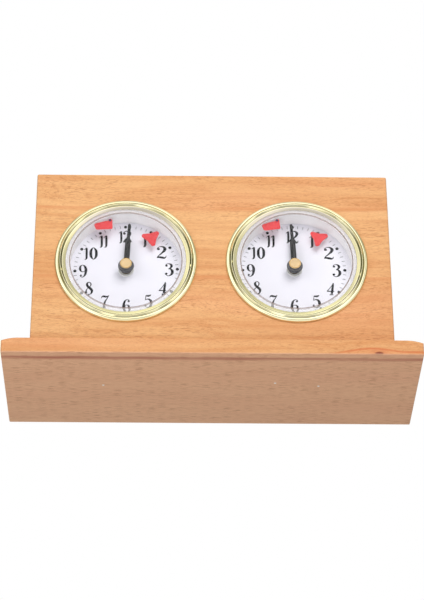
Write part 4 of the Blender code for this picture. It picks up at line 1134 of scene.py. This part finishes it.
# ---------------------------------------------------------------- stage, in metres from here on
def floor():
    """A pale floor that only a camera above it sees, and that fades out far from the clock."""
    bm = bmesh.new()
    bmesh.ops.create_grid(bm, x_segments=1, y_segments=1, size=6.0)
    for v in bm.verts:
        v.co.z = -0.0004
    mesh = bpy.data.meshes.new("floor")
    bm.to_mesh(mesh)
    bm.free()
    add_object("floor", mesh)

    n = Finish("floor_pale")
    clouds = n.noise(n.mm(), per_mm=(0.01, 0.01, 0.01))
    n.set(color=n.mix(clouds, (0.86, 0.86, 0.86, 1), (0.90, 0.90, 0.90, 1)), rough=0.7,
          specular=0.2)
    path = n.add("ShaderNodeLightPath").outputs
    geometry = n.add("ShaderNodeNewGeometry").outputs
    show = n.times(path["Is Camera Ray"], n.minus(1.0, geometry["Backfacing"]))
    distance = n.length(geometry["Position"])
    show = n.times(show, n.step(distance, over=(0.16, 0.55), to=FADE))
    clear = n.add("ShaderNodeBsdfTransparent").outputs[0]
    mesh.materials.append(n.surface(n.mix_shaders(show, clear, n.shader.outputs[0])))


def soft_light(name, at, size, power, colour=(1.0, 1.0, 1.0)):
    """A square or oblong light aimed at the clock's middle."""
    data = bpy.data.lights.new(name, "AREA")
    data.shape = "RECTANGLE"
    data.size, data.size_y = size
    data.energy = power
    data.color = colour
    data.spread = math.pi
    light = add_object(name, data)
    light.location = at
    aim = Vector((0.0, -0.02, 0.06)) - Vector(at)
    light.rotation_euler = aim.to_track_quat("-Z", "Y").to_euler()
    light.visible_glossy = False        # polished pieces mirror the world's soft panels instead
    light.visible_transmission = False


# What polished metal mirrors, laid over one another: direction, degrees to full strength, degrees
# to nothing, colour. A bright ceiling before the face, pale ends above and below, dim walls at
# both sides, and two brighter panels to streak the gold.
ROOM_BASE = (0.50, 0.47, 0.38, 1)
ROOM = [
    ((0, -1, 0), 20, 110, (0.98, 0.97, 0.90, 1)),
    ((0, 0, 1), 15, 55, (0.86, 0.88, 0.80, 1)),
    ((0, 0, -1), 15, 50, (1.15, 1.14, 1.08, 1)),
    ((-1.0, -0.05, 0.5), 16, 40, (0.15, 0.14, 0.07, 1)),
    ((1.0, -0.05, 0.5), 16, 40, (0.15, 0.14, 0.07, 1)),
    ((-0.46, -0.88, 0.08), 8, 22, (1.45, 1.45, 1.45, 1)),
    ((0.0, -0.86, 0.50), 10, 24, (1.30, 1.30, 1.28, 1)),
]


def studio_world():
    """White to the camera, the room to glossy rays, and an even soft light to all others."""
    world = bpy.data.worlds.new("studio")
    scene.world = world
    world.use_nodes = True
    n = Graph(world.node_tree)
    n.tree.nodes.clear()
    path = n.add("ShaderNodeLightPath").outputs
    direction = n.add("ShaderNodeTexCoord").outputs["Generated"]
    room = ROOM_BASE
    for centre, near, far, colour in ROOM:
        inputs = {0: direction, 1: Vector(centre).normalized()}
        dot = n.add("ShaderNodeVectorMath", inputs, operation="DOT_PRODUCT").outputs["Value"]
        edge = (math.cos(math.radians(far)), math.cos(math.radians(near)))
        room = n.mix(n.step(dot, over=edge), room, colour)
    streak = n.step(n.noise(direction, scale=2.6, detail=1.0), over=(0.38, 0.62),
                    to=(0.55, 1.35), curve="LINEAR")

    def background(colour, strength):
        inputs = {"Color": colour, "Strength": strength}
        return n.add("ShaderNodeBackground", inputs).outputs[0]

    ambient = background((0.97, 0.985, 1.0, 1), strength=0.42)
    lit = n.mix_shaders(path["Is Glossy Ray"], ambient, background(room, streak))
    white = background((1, 1, 1, 1), strength=1.0)
    n.add("ShaderNodeOutputWorld", {0: n.mix_shaders(path["Is Camera Ray"], lit, white)})


def camera():
    """Looks at the dials from in front and below."""
    data = bpy.data.cameras.new("camera")
    data.lens = 129.08
    data.sensor_width = 36.0
    data.clip_start, data.clip_end = 0.01, 20.0
    obj = add_object("camera", data)
    azimuth, elevation, roll = (math.radians(d) for d in (-1.178, -31.133, -0.15))
    distance = 1.1364
    target = Vector((-0.00019, FACE * MM, 0.03464))
    away = Vector((math.sin(azimuth) * math.cos(elevation),
                   -math.cos(azimuth) * math.cos(elevation), math.sin(elevation)))
    obj.location = target + away * distance
    look = (-away).to_track_quat("-Z", "Y").to_matrix()
    obj.rotation_euler = (look @ Matrix.Rotation(roll, 3, "Z")).to_euler()
    scene.camera = obj


floor()
soft_light("key_soft", at=(0.35, -1.25, 0.75), size=(0.9, 0.9), power=14.5,
           colour=(1.0, 0.985, 0.96))
soft_light("fill_under", at=(-0.2, -0.75, -1.2), size=(1.2, 0.8), power=7.2,
           colour=(0.95, 0.96, 1.0))
soft_light("fill_left", at=(-0.9, -0.9, 0.2), size=(0.8, 0.8), power=3.5,
           colour=(1.0, 0.99, 0.98))
soft_light("fill_back", at=(-0.5, 1.4, 0.8), size=(1.0, 1.0), power=9.0)
soft_light("fill_top", at=(0.0, 0.1, 1.6), size=(1.2, 1.2), power=7.0)
studio_world()
scene.view_settings.view_transform = "Standard"
scene.view_settings.look = "None"
camera()
